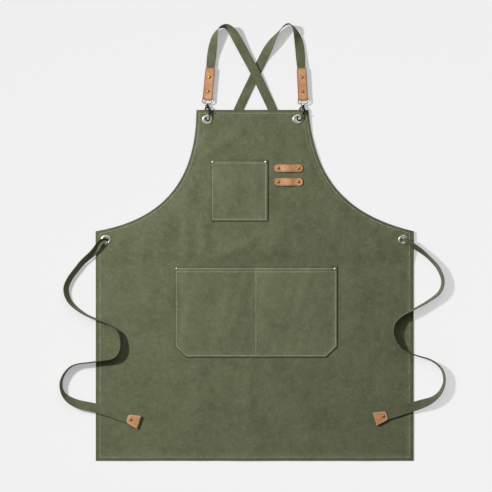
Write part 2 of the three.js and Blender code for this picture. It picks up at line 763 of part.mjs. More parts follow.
addSnap(leftSnap, apron);
addSnap(rightSnap, apron);

addTape(leftStrapRoute, 'left_strap', 'right_tie_end', apron);
addTape(rightStrapRoute, 'right_strap', 'left_tie_end', apron);

export default apron;
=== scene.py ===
"""Cross-back canvas work apron laid flat: the looks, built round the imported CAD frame.

Metres, in the frame's own axes: +X right, +Y towards the bib, +Z up out of the front.
"""

import json
import math
import random

import bmesh
import bpy
import numpy as np
from mathutils import Matrix, Vector
from mathutils.geometry import delaunay_2d_cdt


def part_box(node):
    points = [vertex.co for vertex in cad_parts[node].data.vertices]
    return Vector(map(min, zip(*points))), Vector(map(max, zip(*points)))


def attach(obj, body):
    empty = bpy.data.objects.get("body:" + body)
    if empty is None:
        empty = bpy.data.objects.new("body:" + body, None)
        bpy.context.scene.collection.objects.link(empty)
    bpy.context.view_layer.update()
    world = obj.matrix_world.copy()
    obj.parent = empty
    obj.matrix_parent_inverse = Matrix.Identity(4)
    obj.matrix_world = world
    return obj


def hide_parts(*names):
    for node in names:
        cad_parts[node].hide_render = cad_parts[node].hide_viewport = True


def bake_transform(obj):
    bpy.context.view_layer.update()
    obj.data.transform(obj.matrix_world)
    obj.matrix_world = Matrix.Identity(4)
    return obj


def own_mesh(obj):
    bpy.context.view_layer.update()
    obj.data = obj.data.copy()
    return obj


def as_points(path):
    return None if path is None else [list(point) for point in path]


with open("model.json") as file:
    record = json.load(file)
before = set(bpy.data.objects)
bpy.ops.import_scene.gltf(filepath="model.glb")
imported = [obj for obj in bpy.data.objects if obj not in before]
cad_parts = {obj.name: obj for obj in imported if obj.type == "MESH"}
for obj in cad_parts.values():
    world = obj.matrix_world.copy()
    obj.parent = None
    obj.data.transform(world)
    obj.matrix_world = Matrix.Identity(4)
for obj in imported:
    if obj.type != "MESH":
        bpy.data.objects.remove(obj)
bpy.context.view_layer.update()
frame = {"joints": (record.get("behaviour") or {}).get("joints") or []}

MM = 0.001
TURN = 2 * math.pi
UP = np.array((0.0, 0.0, 1.0))
scene = bpy.context.scene

# ---- camera

VIEW_WIDTH = 1.0622  # what the square view takes in at the apron's surface
VIEW_CENTRE = (-0.0189, 0.0392)
SURFACE_HEIGHT = 5 * MM
LENS = 135
SENSOR = 36


def make_camera():
    """Looks straight down, as the photographed flat lay does."""
    data = bpy.data.cameras.new("camera")
    data.lens = LENS
    data.sensor_width = SENSOR
    camera = bpy.data.objects.new("camera", data)
    scene.collection.objects.link(camera)
    distance = VIEW_WIDTH * LENS / SENSOR
    camera.location = (*VIEW_CENTRE, SURFACE_HEIGHT + distance)
    scene.camera = camera


make_camera()

# ---- node helpers


def linear(tint):
    """An sRGB colour, 0 to 255, as the linear one that nodes take."""
    shares = [part / 255 for part in tint]
    return (*(s / 12.92 if s <= 0.04045 else ((s + 0.055) / 1.055) ** 2.4 for s in shares), 1.0)


class Nodes:
    """A material's node tree, with short calls for the nodes used here."""

    def __init__(self, name):
        self.material = bpy.data.materials.new(name)
        self.material.use_nodes = True
        self.tree = self.material.node_tree
        self.shader = self.tree.nodes["Principled BSDF"]

    def feed(self, value, socket):
        if isinstance(value, bpy.types.NodeSocket):
            self.tree.links.new(value, socket)
        else:
            socket.default_value = value

    def put(self, made, **values):
        """Feeds a node's inputs by name, so from_min is the socket From Min."""
        for key, value in values.items():
            self.feed(value, made.inputs[key.replace("_", " ").title()])
        return made.outputs

    def node(self, kind, **settings):
        made = self.tree.nodes.new(kind)
        for key, value in settings.items():
            setattr(made, key, value)
        return made

    def math(self, operation, a, b=0.0, clamp=False):
        made = self.node("ShaderNodeMath", operation=operation, use_clamp=clamp)
        self.feed(a, made.inputs[0])
        self.feed(b, made.inputs[1])
        return made.outputs[0]

    def times(self, a, b):
        return self.math("MULTIPLY", a, b)

    def plus(self, a, b):
        return self.math("ADD", a, b)

    def sine(self, value, pitch):
        return self.math("SINE", self.times(value, TURN / pitch))

    def off(self, value, centre):
        """How far the value is from centre, either way."""
        return self.math("ABSOLUTE", self.math("SUBTRACT", value, centre))

    def place(self):
        return self.node("ShaderNodeTexCoord").outputs["Object"]

    def split(self, vector):
        return self.put(self.node("ShaderNodeSeparateXYZ"), vector=vector)

    def noise(self, scale, detail, roughness=0.5, vector=None, distortion=0.0):
        made = self.node("ShaderNodeTexNoise")
        self.put(made, scale=scale, detail=detail, roughness=roughness, distortion=distortion)
        return self.put(made, vector=vector or self.place())["Fac"]

    def span(self, value, low, high, to_low=0.0, to_high=1.0):
        """The value, with low to high stretched to reach from to_low to to_high."""
        ends = {"from_min": low, "from_max": high, "to_min": to_low, "to_max": to_high}
        return self.put(self.node("ShaderNodeMapRange"), value=value, **ends)["Result"]

    def mix(self, factor, a, b, blend="MIX"):
        """Two colours mixed, either a socket or sRGB values from 0 to 255."""
        made = self.node("ShaderNodeMix", data_type="RGBA", blend_type=blend)
        self.feed(factor, made.inputs[0])
        for socket, value in ((6, a), (7, b)):  # its two colours
            self.feed(linear(value) if isinstance(value, tuple) else value, made.inputs[socket])
        return made.outputs[2]

    def layered(self, shade, *layers):
        """The shade, with each layer's colour over it as far as its mask says."""
        for mask, tint in layers:
            shade = self.mix(mask, shade, tint)
        return shade

    def attribute(self, name):
        return self.node("ShaderNodeAttribute", attribute_name=name).outputs["Fac"]

    def bump(self, height, distance, strength, under=None):
        made = self.node("ShaderNodeBump")
        if under is not None:
            self.put(made, normal=under)
        return self.put(made, distance=distance, strength=strength, height=height)["Normal"]

    def finish(self, **values):
        self.put(self.shader, **values)
        return self.material


# ---- materials


def canvas_material(name, tint):
    """Waxed twill: fine diagonal weave, rubbed paler patches, worn folds, and painted shade darkening
    the cut edges.
    """
    n = Nodes(name)
    x, y, _ = n.split(n.place())
    blotches = n.span(n.noise(70, 4.0, 0.65, distortion=0.6), 0.28, 0.72)
    veins = n.span(n.off(n.noise(30, 5.0, 0.62, distortion=1.4), 0.5), 0.0, 0.018, 1.0, 0.0)
    wear = n.times(n.attribute("wear"), n.span(n.noise(180, 3.0), 0.3, 0.75))
    shade = n.layered(
        n.mix(n.span(n.noise(14, 3.0, 0.6), 0.3, 0.7), tint["dark"], tint["light"]),
        (n.times(blotches, 0.62), tint["rubbed"]),
        (n.times(n.span(n.noise(420, 2.0, 0.6), 0.25, 0.75), 0.58), tint["deep"]),
        # painted shade: the cut and folded edges darkened towards a dark tint
        (n.times(n.attribute("soil"), 0.85), tint["soil"]),
        (n.times(veins, 0.22), tint["worn"]),
        (n.times(wear, 0.75), tint["worn"]),
    )
    pitch = 1.15 * MM
    threads = n.times(n.sine(x, 0.7 * pitch), 0.5)
    weave = n.plus(n.plus(n.sine(n.plus(x, y), pitch), threads), n.times(n.noise(900, 2.0), 1.2))
    gaps = n.mix(n.span(weave, -0.9, 0.6, 0.82, 1.04), (0, 0, 0), (255, 255, 255))
    return n.finish(
        base_color=n.mix(1.0, shade, gaps, "MULTIPLY"),
        roughness=n.span(blotches, 0.0, 1.0, 0.86, 0.72),
        normal=n.bump(n.noise(55, 4.0, 0.6), 1.5 * MM, 0.7, n.bump(weave, 0.11 * MM, 0.75)),
        sheen_weight=0.08,
        sheen_roughness=0.6,
    )


def webbing_material():
    """Cotton webbing: herringbone rows along the tape and firmer edges."""
    n = Nodes("webbing")
    u, v, _ = n.split(n.node("ShaderNodeUVMap", uv_map="tape").outputs[0])
    zigzag = n.math("PINGPONG", v, 2.4 * MM)
    ribs = n.sine(n.plus(u, zigzag), 1.3 * MM)
    groove = n.span(zigzag, 0.0, 0.35 * MM)
    shade = n.layered(
        n.mix(n.span(n.noise(25, 3.0, 0.6), 0.3, 0.7), (74, 80, 52), (101, 106, 74)),
        (n.span(ribs, -1.0, 0.2, 0.3, 0.0), (56, 60, 40)),
        (n.span(n.attribute("edge"), 0.0, 1.3 * MM, 0.45, 0.0), (66, 70, 50)),
        (n.span(n.noise(300, 3.0), 0.5, 0.8, 0.0, 0.3), (126, 130, 104)),
    )
    normal = n.bump(n.plus(n.times(ribs, 0.5), groove), 0.16 * MM, 0.8)
    return n.finish(
        base_color=shade, roughness=0.85, normal=normal, sheen_weight=0.1, sheen_roughness=0.6
    )


def leather_material(name, burnish):
    """Vegetable-tanned leather: pebbled grain, a creased line, and edges dark as far in as burnish."""
    n = Nodes(name)
    edge = n.attribute("edge")
    crease = n.span(n.off(edge, 2.0 * MM), 0.15 * MM, 0.45 * MM, 1.0, 0.0)
    cells = n.node("ShaderNodeTexVoronoi", feature="DISTANCE_TO_EDGE")
    grain = n.span(n.put(cells, scale=1100, vector=n.place())["Distance"], 0.0, 0.25)
    patches = n.span(n.noise(60, 4.0, 0.6, distortion=0.5), 0.3, 0.7)
    scuffs = n.span(n.noise(260, 3.0, 0.6, distortion=1.0), 0.55, 0.75)
    pale = n.times(n.attribute("pale"), n.span(edge, 2.6 * MM, 3.4 * MM, 0.75, 0.0))
    shade = n.layered(
        n.mix(patches, (176, 122, 80), (212, 160, 118)),
        (n.times(scuffs, 0.35), (228, 184, 140)),
        (pale, (214, 178, 136)),
        (n.times(crease, 0.45), (120, 70, 38)),
        (n.span(edge, 0.1 * MM, burnish, 0.85, 0.0), (104, 58, 34)),
        (n.span(grain, 0.0, 0.5, 0.3, 0.0), (122, 72, 40)),
    )
    normal = n.bump(n.noise(200, 4.0, 0.6), 0.35 * MM, 0.5, n.bump(grain, 0.1 * MM, 0.6))
    normal = n.bump(n.times(crease, -1.0), 0.25 * MM, 0.8, normal)
    roughness = n.span(n.noise(90, 2.0), 0.3, 0.7, 0.42, 0.6)
    return n.finish(base_color=shade, roughness=roughness, normal=normal)


def metal_material(name, bright, dull, roughness, patina):
    """Plated metal: darker dull film in patches, fine scratches and uneven polish."""
    n = Nodes(name)
    film = n.span(n.noise(240, 4.0, 0.65, distortion=0.8), 0.4, 0.7)
    stretch = n.put(
        n.node("ShaderNodeMapping"), scale=(1.0, 9.0, 1.0), rotation=(0.3, 0.5, 0.7), vector=n.place()
    )
    scratches = n.noise(700, 3.0, 0.7, stretch[0])
    rough = n.span(film, 0.0, 1.0, roughness, roughness + 0.25)
    return n.finish(
        base_color=n.mix(n.times(film, patina), bright, dull),
        metallic=1.0,
        roughness=n.math("ADD", rough, n.span(scratches, 0.35, 0.65, -0.05, 0.08), clamp=True),
        normal=n.bump(scratches, 0.03 * MM, 0.4),
    )


def thread_material():
    """Pale cotton sewing thread."""
    n = Nodes("thread")
    shade = n.mix(n.span(n.noise(120, 2.0), 0.3, 0.7), (150, 153, 124), (188, 190, 158))
    twist = n.bump(n.noise(2600, 2.0, 0.6), 0.12 * MM, 0.7)
    return n.finish(base_color=shade, roughness=0.8, normal=twist)


CANVAS_TINTS = {  # on the panel, and on the pockets
    "dark": ((86, 91, 58), (89, 94, 61)),
    "light": ((108, 113, 79), (112, 118, 84)),
    "rubbed": ((120, 126, 92), (121, 126, 93)),
    "deep": ((66, 71, 46), (78, 83, 58)),
    "worn": ((150, 154, 128), (152, 156, 130)),
    # painted shade: the colour that the cut edges are darkened towards
    "soil": ((54, 58, 36), (58, 62, 40)),
}
CANVAS, POCKET_CANVAS = (
    canvas_material(name, {key: tints[i] for key, tints in CANVAS_TINTS.items()})
    for i, name in enumerate(("panel_canvas", "pocket_canvas"))
)
WEBBING = webbing_material()
LEATHER = leather_material("leather", 0.9 * MM)
STRAP_LEATHER = leather_material("strap_leather", 2.6 * MM)
THREAD = thread_material()
NICKEL = metal_material("nickel", (214, 210, 194), (128, 121, 104), 0.24, 0.8)
BRASS = metal_material("antique_brass", (196, 150, 84), (84, 58, 34), 0.26, 0.7)
GUNMETAL = metal_material("gunmetal", (62, 60, 57), (22, 21, 20), 0.2, 0.8)

# ---- mesh helpers


def make_object(name, points, faces, material):
    mesh = bpy.data.meshes.new(name)
    mesh.from_pydata([tuple(p) for p in points], [], faces)
    mesh.materials.append(material)
    mesh.shade_smooth()
    made = bpy.data.objects.new(name, mesh)
    scene.collection.objects.link(made)
    return made


def paint_points(piece, name, values):
    layer = piece.data.attributes.new(name, "FLOAT", "POINT")
    layer.data.foreach_set("value", np.asarray(values, np.float32))


def settle(piece, body, slot, *nodes):
    """The piece rides on its body and stands for its CAD nodes, which are hidden; its slot is not used.
    """
    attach(piece, body)
    if nodes:
        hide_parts(*nodes)
    return piece


def middle(node):
    low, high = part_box(node)
    return (low + high) / 2


def smoothstep(value, low, high):
    """0 up to low and 1 from high, which are in millimetres, with an even rise between them."""
    share = np.clip((value / MM - low) / (high - low), 0, 1)
    return share * share * (3 - 2 * share)


def bell(distance, width):
    """1 where the distance is 0, falling away within width in millimetres."""
    return np.exp(-((distance / MM / width) ** 2))


def unit(vector):
    return vector / max(np.linalg.norm(vector), 1e-12)


def headings(line):
    """The direction of a line at each of its points."""
    line = [line[0], *line, line[-1]]
    return [unit(after - before) for before, after in zip(line, line[2:])]


def runs_along(line):
    """How far along the line each of its points is."""
    return np.concatenate([[0], np.cumsum(np.linalg.norm(np.diff(line, axis=0), axis=1))])


def spline(rows, per_span):
    """Rows of numbers, and even Catmull-Rom steps between them."""
    rows = [np.array(row, float) for row in rows]
    rows = [2 * rows[0] - rows[1], *rows, 2 * rows[-1] - rows[-2]]
    made = []
    for before, start, end, after in zip(rows, rows[1:], rows[2:], rows[3:]):
        for step in range(per_span):
            t = step / per_span
            square = (2 * before - 5 * start + 4 * end - after) * t**2
            cube = (3 * start - before - 3 * end + after) * t**3
            made.append(0.5 * (2 * start + (end - before) * t + square + cube))
    made.append(rows[-2])
    return made


ACROSS_STEPS = 10
CORNER_STEPS = 3


def rounded_section(half_width, half_height, corner):
    """A flat bar's outline with rounded edges, its points closer together near the edges."""
    corner = min(corner, half_height, half_width)
    points = []
    for quarter, (sx, sy) in enumerate(((1, 1), (-1, 1), (-1, -1), (1, -1))):
        for step in range(CORNER_STEPS + 1):
            angle = (quarter + step / CORNER_STEPS) * math.pi / 2
            a = sx * (half_width - corner) + corner * math.cos(angle)
            b = sy * (half_height - corner) + corner * math.sin(angle)
            points.append((a, b))
        if quarter in (0, 2):
            for step in range(1, ACROSS_STEPS):
                a = sx * (half_width - corner) * math.cos(math.pi * step / ACROSS_STEPS)
                points.append((a, sy * half_height))
    return points


def round_section(radius, sides):
    angles = [TURN * i / sides for i in range(sides)]
    return [(radius * math.cos(angle), radius * math.sin(angle)) for angle in angles]


def skin(rings):
    """Points and faces of a closed solid through rings of equal length, with capped ends."""
    size = len(rings[0])
    faces = []
    for i in range(len(rings) - 1):
        for j in range(size):
            a = i * size + j
            b = i * size + (j + 1) % size
            faces.append((a, b, b + size, a + size))
    faces.append(tuple(reversed(range(size))))
    last = (len(rings) - 1) * size
    faces.append(tuple(range(last, last + size)))
    return [point for ring in rings for point in ring], faces


def lathe(profile, segments, close=False):
    """Points and faces of (radius, height) points turned about Z. A closed profile makes a ring."""
    size = len(profile)
    points = []
    faces = []
    for i in range(segments):
        angle = TURN * i / segments
        points += [(r * math.cos(angle), r * math.sin(angle), z) for r, z in profile]
        this, following = i * size, (i + 1) % segments * size
        for j in range(size if close else size - 1):
            k = (j + 1) % size
            faces.append((this + j, following + j, following + k, this + k))
    return points, faces


def merged(parts):
    """Several (points, faces) as one."""
    points = []
    faces = []
    for part_points, part_faces in parts:
        start = len(points)
        points += [tuple(p) for p in part_points]
        faces += [tuple(k + start for k in face) for face in part_faces]
    return points, faces


def tidy(piece, merge=1e-6):
    """Joins doubled points and turns every face outwards."""
    work = bmesh.new()
    work.from_mesh(piece.data)
    bmesh.ops.remove_doubles(work, verts=work.verts, dist=merge)
    bmesh.ops.dissolve_degenerate(work, edges=work.edges, dist=merge)
    bmesh.ops.recalc_face_normals(work, faces=work.faces)
    work.to_mesh(piece.data)
    work.free()
    return piece


def turned_piece(node, body, slot, material, profile, segments, close=False):
    """A turned piece with its axis through the middle of its CAD node."""
    centre = middle(node)
    points, faces = lathe(profile, segments, close)
    points = [(x + centre.x, y + centre.y, z) for x, y, z in points]
    return settle(tidy(make_object(f"{node}_metal", points, faces, material)), body, slot, node)


def ribbon(name, stations, thickness, corner, material):
    """A flat strip. Each station is centre, across, through, width, and its fold if it has one."""
    runs = runs_along(np.array([station[0] for station in stations]))
    rings = []
    edges = []
    lengths = []
    for run, (centre, across, through, width, *fold) in zip(runs, stations):
        half = thickness(width) / 2 if callable(thickness) else thickness / 2
        section = rounded_section(width / 2, half, corner)
        turn = fold[0] if fold else 0.0
        across = across * math.cos(turn)
        rise = through * math.sin(turn)
        rings.append([centre + across * a + through * b + rise * abs(a) for a, b in section])
        edges += [min(width / 2 - abs(a), run, runs[-1] - run) for a, b in section]
        lengths += [(run, a) for a, b in section]
    points, faces = skin(rings)
    piece = make_object(name, points, faces, material)
    paint_points(piece, "edge", edges)
    layer = piece.data.uv_layers.new(name="tape")
    for loop in piece.data.loops:
        layer.data[loop.index].uv = lengths[loop.vertex_index]
    return piece


# ---- straps and ties

# x, y, z, roll in degrees (0 is flat, 90 is on edge), and the width where it isn't the tape's own
LEFT_STRAP_ROUTE = [
    (-0.0953, 0.4285, 0.0073, 0, 0.018),
    (-0.0932, 0.448, 0.0054, -8),
    (-0.09, 0.472, 0.0084, -28),
    (-0.085, 0.494, 0.0124, -60),
    (-0.076, 0.5085, 0.015, -90),
    (-0.0625, 0.5125, 0.015, -112),
    (-0.0505, 0.504, 0.0126, -138),
    (-0.038, 0.485, 0.0092, -166),
    (-0.022, 0.456, 0.0068, -178),
    (0.0018, 0.412, 0.0056, -180),
    (0.022, 0.37, 0.003, -180),
    (0.04, 0.331, 0.0013, -180),
    (0.06, 0.28, 0.0011, -180),
    (0.096, 0.205, 0.0011, -180),
    (0.16, 0.13, 0.0011, -180),
    (0.232, 0.078, 0.0011, -180),
    (0.285, 0.056, 0.0012, -180, 0.018),
    (0.305, 0.0528, 0.0014, -180, 0.01),
    (0.315, 0.0521, 0.0016, -180, 0.008),
    (0.3212, 0.052, 0.0059, -180, 0.007),
    (0.3264, 0.0515, 0.0102, -180, 0.009),
    (0.336, 0.048, 0.0115, -165, 0.012),
    (0.352, 0.039, 0.0132, -128, 0.018),
    (0.374, 0.02, 0.0112, -109),
    (0.396, -0.009, 0.0103, -106),
    (0.4056, -0.036, 0.0103, -103),
    (0.398, -0.061, 0.0103, -102),
    (0.372, -0.081, 0.0108, -98),
    (0.343, -0.0973, 0.0127, -94),
    (0.315, -0.113, 0.0129, -92),
    (0.3, -0.131, 0.0129, -92),
    (0.3, -0.156, 0.0129, -92),
    (0.315, -0.182, 0.0129, -94),
    (0.345, -0.1955, 0.0124, -96),
    (0.381, -0.2075, 0.0106, -97),
    (0.405, -0.23, 0.0103, -98),
    (0.407, -0.262, 0.0103, -99),
    (0.386, -0.29, 0.0098, -118),
    (0.34, -0.3085, 0.0066, -172),
    (0.272, -0.33, 0.0064, -180),
]
RIGHT_STRAP_ROUTE = [
    (0.1001, 0.4285, 0.0073, 0, 0.018),
    (0.0989, 0.446, 0.0052, 0),
    (0.0966, 0.47, 0.006, 12),
    (0.0922, 0.49, 0.0094, 38),
    (0.085, 0.507, 0.013, 68),
    (0.075, 0.517, 0.0154, 88),
    (0.063, 0.513, 0.0154, 90),
    (0.049, 0.497, 0.0126, 78),
    (0.035, 0.476, 0.0086, 42),
    (0.021, 0.45, 0.0026, 8),
    (0.0025, 0.412, 0.001, 0),
    (-0.018, 0.37, 0.0011, 0),
    (-0.036, 0.331, 0.0011, 0),
    (-0.058, 0.28, 0.0011, 0),
    (-0.096, 0.205, 0.0011, 0),
    (-0.16, 0.13, 0.0011, 0),
    (-0.232, 0.078, 0.0011, 0),
    (-0.285, 0.056, 0.0012, 0, 0.018),
    (-0.305, 0.0528, 0.0014, 0, 0.01),
    (-0.315, 0.0521, 0.0016, 0, 0.008),
    (-0.3212, 0.052, 0.0059, 0, 0.007),
    (-0.3264, 0.0512, 0.0102, 0, 0.009),
    (-0.3355, 0.045, 0.0115, -14, 0.012),
    (-0.349, 0.027, 0.0128, -42, 0.018),
    (-0.374, 0.001, 0.0104, -58),
    (-0.399, -0.032, 0.0102, -60),
    (-0.4067, -0.057, 0.0102, -60),
    (-0.396, -0.084, 0.0102, -70),
    (-0.364, -0.109, 0.0128, -82),
    (-0.318, -0.128, 0.0132, -88),
    (-0.295, -0.147, 0.0129, -90),
    (-0.2895, -0.178, 0.0129, -90),
    (-0.303, -0.202, 0.0129, -88),
    (-0.345, -0.2106, 0.0124, -82),
    (-0.393, -0.219, 0.0102, -84),
    (-0.416, -0.248, 0.0103, -80),
    (-0.413, -0.279, 0.0102, -73),
    (-0.386, -0.3, 0.0082, -34),
    (-0.335, -0.313, 0.0066, -4),
    (-0.262, -0.337, 0.0064, 0),
]
TAPE_WIDTH = 20 * MM
TAPE_THICKNESS = 1.5 * MM
FOLDED_THICKNESS = 2.4 * MM
INSIDE_TAB = 16 * MM  # how far the tape runs on between the tab's two layers
EYELET_FOLDS = {-20: 38, -19: 55, -18: 46, -17: 22}  # degrees, by row from the tape's end


def tape_thickness(width):
    doubled = 1 - float(smoothstep(width, 11, 17))
    return TAPE_THICKNESS + (FOLDED_THICKNESS - TAPE_THICKNESS) * doubled


def tape_stations(route):
    """Stations along a route, with the tape folded along its middle where it leaves its eyelet."""
    rows = [[*row, TAPE_WIDTH][:5] + [0] for row in route]  # x, y, z, roll, width and fold
    for row, angle in EYELET_FOLDS.items():
        rows[row][5] = angle
    rows = spline(rows, 8)
    stations = []
    for row, along in zip(rows, headings([row[:3] for row in rows])):
        side = unit(np.cross(UP, along))
        roll = math.radians(row[3])
        across = side * math.cos(roll) + np.cross(along, side) * math.sin(roll)
        through = np.cross(along, across)
        fold = math.radians(row[5])
        width = min(TAPE_WIDTH, row[4] / math.cos(fold))
        stations.append((row[:3], across, through, width, math.copysign(fold, through[2])))
    return stations


def make_strap(node, route):
    """One tape from the leather tab over the shoulder to the waist eyelet and on as a tie."""
    first = np.array(route[0], float)
    heading = unit(first[:3] - np.array(route[1][:3]))
    inner = first.copy()
    inner[:3] += np.append(heading[:2], 0) * INSIDE_TAB
    inner[4] = 16.4 * MM
    halfway = (first + inner) / 2
    halfway[4] = 16.8 * MM
    stations = tape_stations([inner, halfway, *route])
    piece = ribbon(f"{node}_tape", stations, tape_thickness, 0.55 * MM, WEBBING)
    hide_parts(node)
    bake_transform(piece)
    return piece, [station[0] for station in stations]


TAPES = {
    "left_strap": make_strap("left_strap", LEFT_STRAP_ROUTE),
    "right_strap": make_strap("right_strap", RIGHT_STRAP_ROUTE),
}

# ---- leather

LEATHER_CORNER = 0.55 * MM
RIVET_HEAD = 3.2 * MM
RIVET_TAIL = 2.6 * MM
RIVET_STEM = 1.3 * MM
RIVET_SINK = 0.25 * MM  # how far each cap is pressed in


def leather_strip(name, path, width_at, origin, heading, thick, corner, material=LEATHER):
    """A strip whose path is (along, up) points in the upright plane through origin."""
    path = np.array(path, float)
    out = np.array((math.cos(heading), math.sin(heading), 0.0))
    across = np.cross(UP, out)
    stations = []
    for (along, up), ahead in zip(path, headings(path)):
        centre = np.array(origin) + out * along + UP * up
        stations.append((centre, across, UP * ahead[0] - out * ahead[1], width_at(along)))
    return ribbon(f"{name}_leather", stations, thick, corner, material)


def make_rivet(node, body, slot, material):
    """A double-cap rivet: a domed head with a pressed rim, and a flatter cap at the back."""
    low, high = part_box(node)
    head = high.z - 1.5 * MM - RIVET_SINK
    tail = low.z + 0.8 * MM + RIVET_SINK
    dome_foot = head + 0.55 * MM
    profile = [(0, low.z)]
    for share, rise in ((0.7, 0.02), (0.92, 0.12), (1, 0.4)):
        profile.append((RIVET_TAIL * share, low.z + rise * MM))
    profile += [(RIVET_TAIL, tail), (RIVET_STEM, tail), (RIVET_STEM, head)]
    for share, rise in ((0.97, 0), (1, 0.2), (0.97, 0.45)):
        profile.append((RIVET_HEAD * share, head + rise * MM))
    for angle in np.linspace(0, math.pi / 2, 9):
        rise = (high.z - dome_foot) * math.sin(angle)
        profile.append((RIVET_HEAD * 0.9 * math.cos(angle), dome_foot + rise))
    return turned_piece(node, body, slot, material, profile, 28)


def make_tie_end(node, tip, before):
    """A leather scrap folded over the tape's end, flaring outwards, with raw pale edges."""
    back, straight, level, fold = (d * MM for d in (-14, 10, 1.62, 1.72))
    bend = 13.25 * MM - fold
    path = [(x, level) for x in np.linspace(back, straight, 15)]
    for angle in np.linspace(0, math.pi, 13):
        path.append((bend + fold * math.sin(angle), fold * math.cos(angle)))
    path += [(x, -level) for x in np.linspace(straight, back, 15)]
    shape = ((-14, 13), (-13, 16), (-11.2, 19.5), (-9, 21.4), (2, 25.2), (11, 28.4), (14, 28.6))
    places, widths = zip(*shape)

    def width_at(along):
        return float(np.interp(along / MM, places, widths)) * MM

    heading = math.atan2(tip[1] - before[1], tip[0] - before[0])
    piece = leather_strip(node, path, width_at, tip[:3], heading, 1.5 * MM, LEATHER_CORNER)
    paint_points(piece, "pale", np.ones(len(piece.data.vertices)))
    return settle(piece, "apron", "leather", node)


def finish_strap(strap, end, route):
    """The leather end and rivet of a tape; the tape's length and path are worked out but not kept."""
    piece, path = TAPES[strap]
    leather = make_tie_end(end, route[-1], route[-2])
    rivet = make_rivet(f"{end}_rivet", "apron", "antique_brass", BRASS)
    float(runs_along(np.array(path))[-1])
    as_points(path)


finish_strap("left_strap", "right_tie_end", LEFT_STRAP_ROUTE)
finish_strap("right_strap", "left_tie_end", RIGHT_STRAP_ROUTE)

# ---- flat shapes


def bezier(ends, steps):
    """Points along a cubic curve."""
    a, b, c, d = (np.array(point, float) for point in ends)
    made = []
    for i in range(steps + 1):
        t = i / steps
        u = 1 - t
        made.append(tuple(a * u**3 + 3 * b * u * u * t + 3 * c * u * t * t + d * t**3))
    return made


def offset_loop(points, distances):
    """A closed anticlockwise outline moved inwards, by one distance or one for each edge."""
    points = np.array(points, float)
    distances = np.broadcast_to(distances, len(points))
    edges = np.roll(points, -1, 0) - points
    edges /= np.linalg.norm(edges, axis=1)[:, None]
    normals = np.stack([-edges[:, 1], edges[:, 0]], 1)
    moved = []
    for i, point in enumerate(points):
        before, after = normals[i - 1], normals[i]
        if abs(before[0] * after[1] - before[1] * after[0]) < 0.02:
            moved.append(point + after * (distances[i - 1] + distances[i]) / 2)
            continue
        goal = [before @ point + distances[i - 1], after @ point + distances[i]]
        moved.append(np.linalg.solve(np.array([before, after]), goal))
    return np.array(moved)


def resample(points, spacing, closed=True):
    """The same line with a point at least every spacing."""
    points = np.array(points, float)
    ends = np.roll(points, -1, 0) if closed else points[1:]
    made = []
    for a, b in zip(points, ends):
        steps = max(1, math.ceil(float(np.linalg.norm(b - a)) / spacing))
        made += [a + (b - a) * i / steps for i in range(steps)]
    if not closed:
        made.append(points[-1])
    return np.array(made)


def distance_to(flat, line, closed=True):
    """How far each point is from a line of straight stretches."""
    line = np.asarray(line, float)
    ends = np.roll(line, -1, 0) if closed else line[1:]
    best = np.full(len(flat), np.inf)
    for a, b in zip(line, ends):
        along = b - a
        share = np.clip(((flat - a) @ along) / max(float(along @ along), 1e-18), 0, 1)
        best = np.minimum(best, np.linalg.norm(flat - a - share[:, None] * along, axis=1))
    return best


def distance_from(flat, centre):
    return np.linalg.norm(flat - np.array(centre)[:2], axis=1)


def inside(flat, outline):
    odd = np.zeros(len(flat), bool)
    for (ax, ay), (bx, by) in zip(outline, np.roll(outline, -1, 0)):
        if ay == by:
            continue
        crosses = (flat[:, 1] < ay) != (flat[:, 1] < by)
        at = ax + (flat[:, 1] - ay) * (bx - ax) / (by - ay)
        odd ^= crosses & (flat[:, 0] < at)
    return odd


def cut_cloth(outline, rings, spacing, holes=(), hole_radii=()):
    """Triangulates a cut shape: lines along its edge, even points inside, and round holes.

    rings and hole_radii are in millimetres, each from the cut edge into the cloth."""
    points = []
    edges = []

    def add_loop(loop):
        start = len(points)
        points.extend(Vector(p) for p in loop)
        edges.extend((start + i, start + (i + 1) % len(loop)) for i in range(len(loop)))

    for distance in rings:
        add_loop(resample(offset_loop(outline, distance * MM), spacing))
    for centre in holes:
        for radius in hole_radii:
            add_loop(np.array(round_section(radius * MM, 30)) + np.array(centre)[:2])
    low, high = np.min(outline, 0), np.max(outline, 0)
    field = []
    row_height = spacing * math.sqrt(3) / 2
    for row in range(int((high[1] - low[1]) / row_height) + 1):
        for column in range(int((high[0] - low[0]) / spacing) + 1):
            x = low[0] + (column + (row % 2) / 2) * spacing
            field.append((x, low[1] + row * row_height))
    field = np.array(field)
    margin = rings[-1] * MM + 0.6 * spacing
    keep = inside(field, outline) & (distance_to(field, outline) > margin)
    for centre in holes:
        keep &= distance_from(field, centre) > hole_radii[-1] * MM + 0.5 * spacing
    points.extend(Vector(p) for p in field[keep])
    made = delaunay_2d_cdt(points, edges, [], 0, 1e-7)
    flat = np.array([tuple(p) for p in made[0]])
    faces = np.array(made[2])
    middles = flat[faces].mean(1)
    keep = inside(middles, outline)
    for centre in holes:
        keep &= distance_from(middles, centre) > hole_radii[0] * MM * 0.98
    faces = faces[keep]
    a, b, c = (flat[faces[:, corner]] for corner in range(3))
    twice = (b[:, 0] - a[:, 0]) * (c[:, 1] - a[:, 1]) - (b[:, 1] - a[:, 1]) * (c[:, 0] - a[:, 0])
    faces = np.where(twice[:, None] > 0, faces, faces[:, ::-1])[np.abs(twice) > 1e-12]
    used, place = np.unique(faces, return_inverse=True)
    return flat[used], place.reshape(faces.shape).tolist()


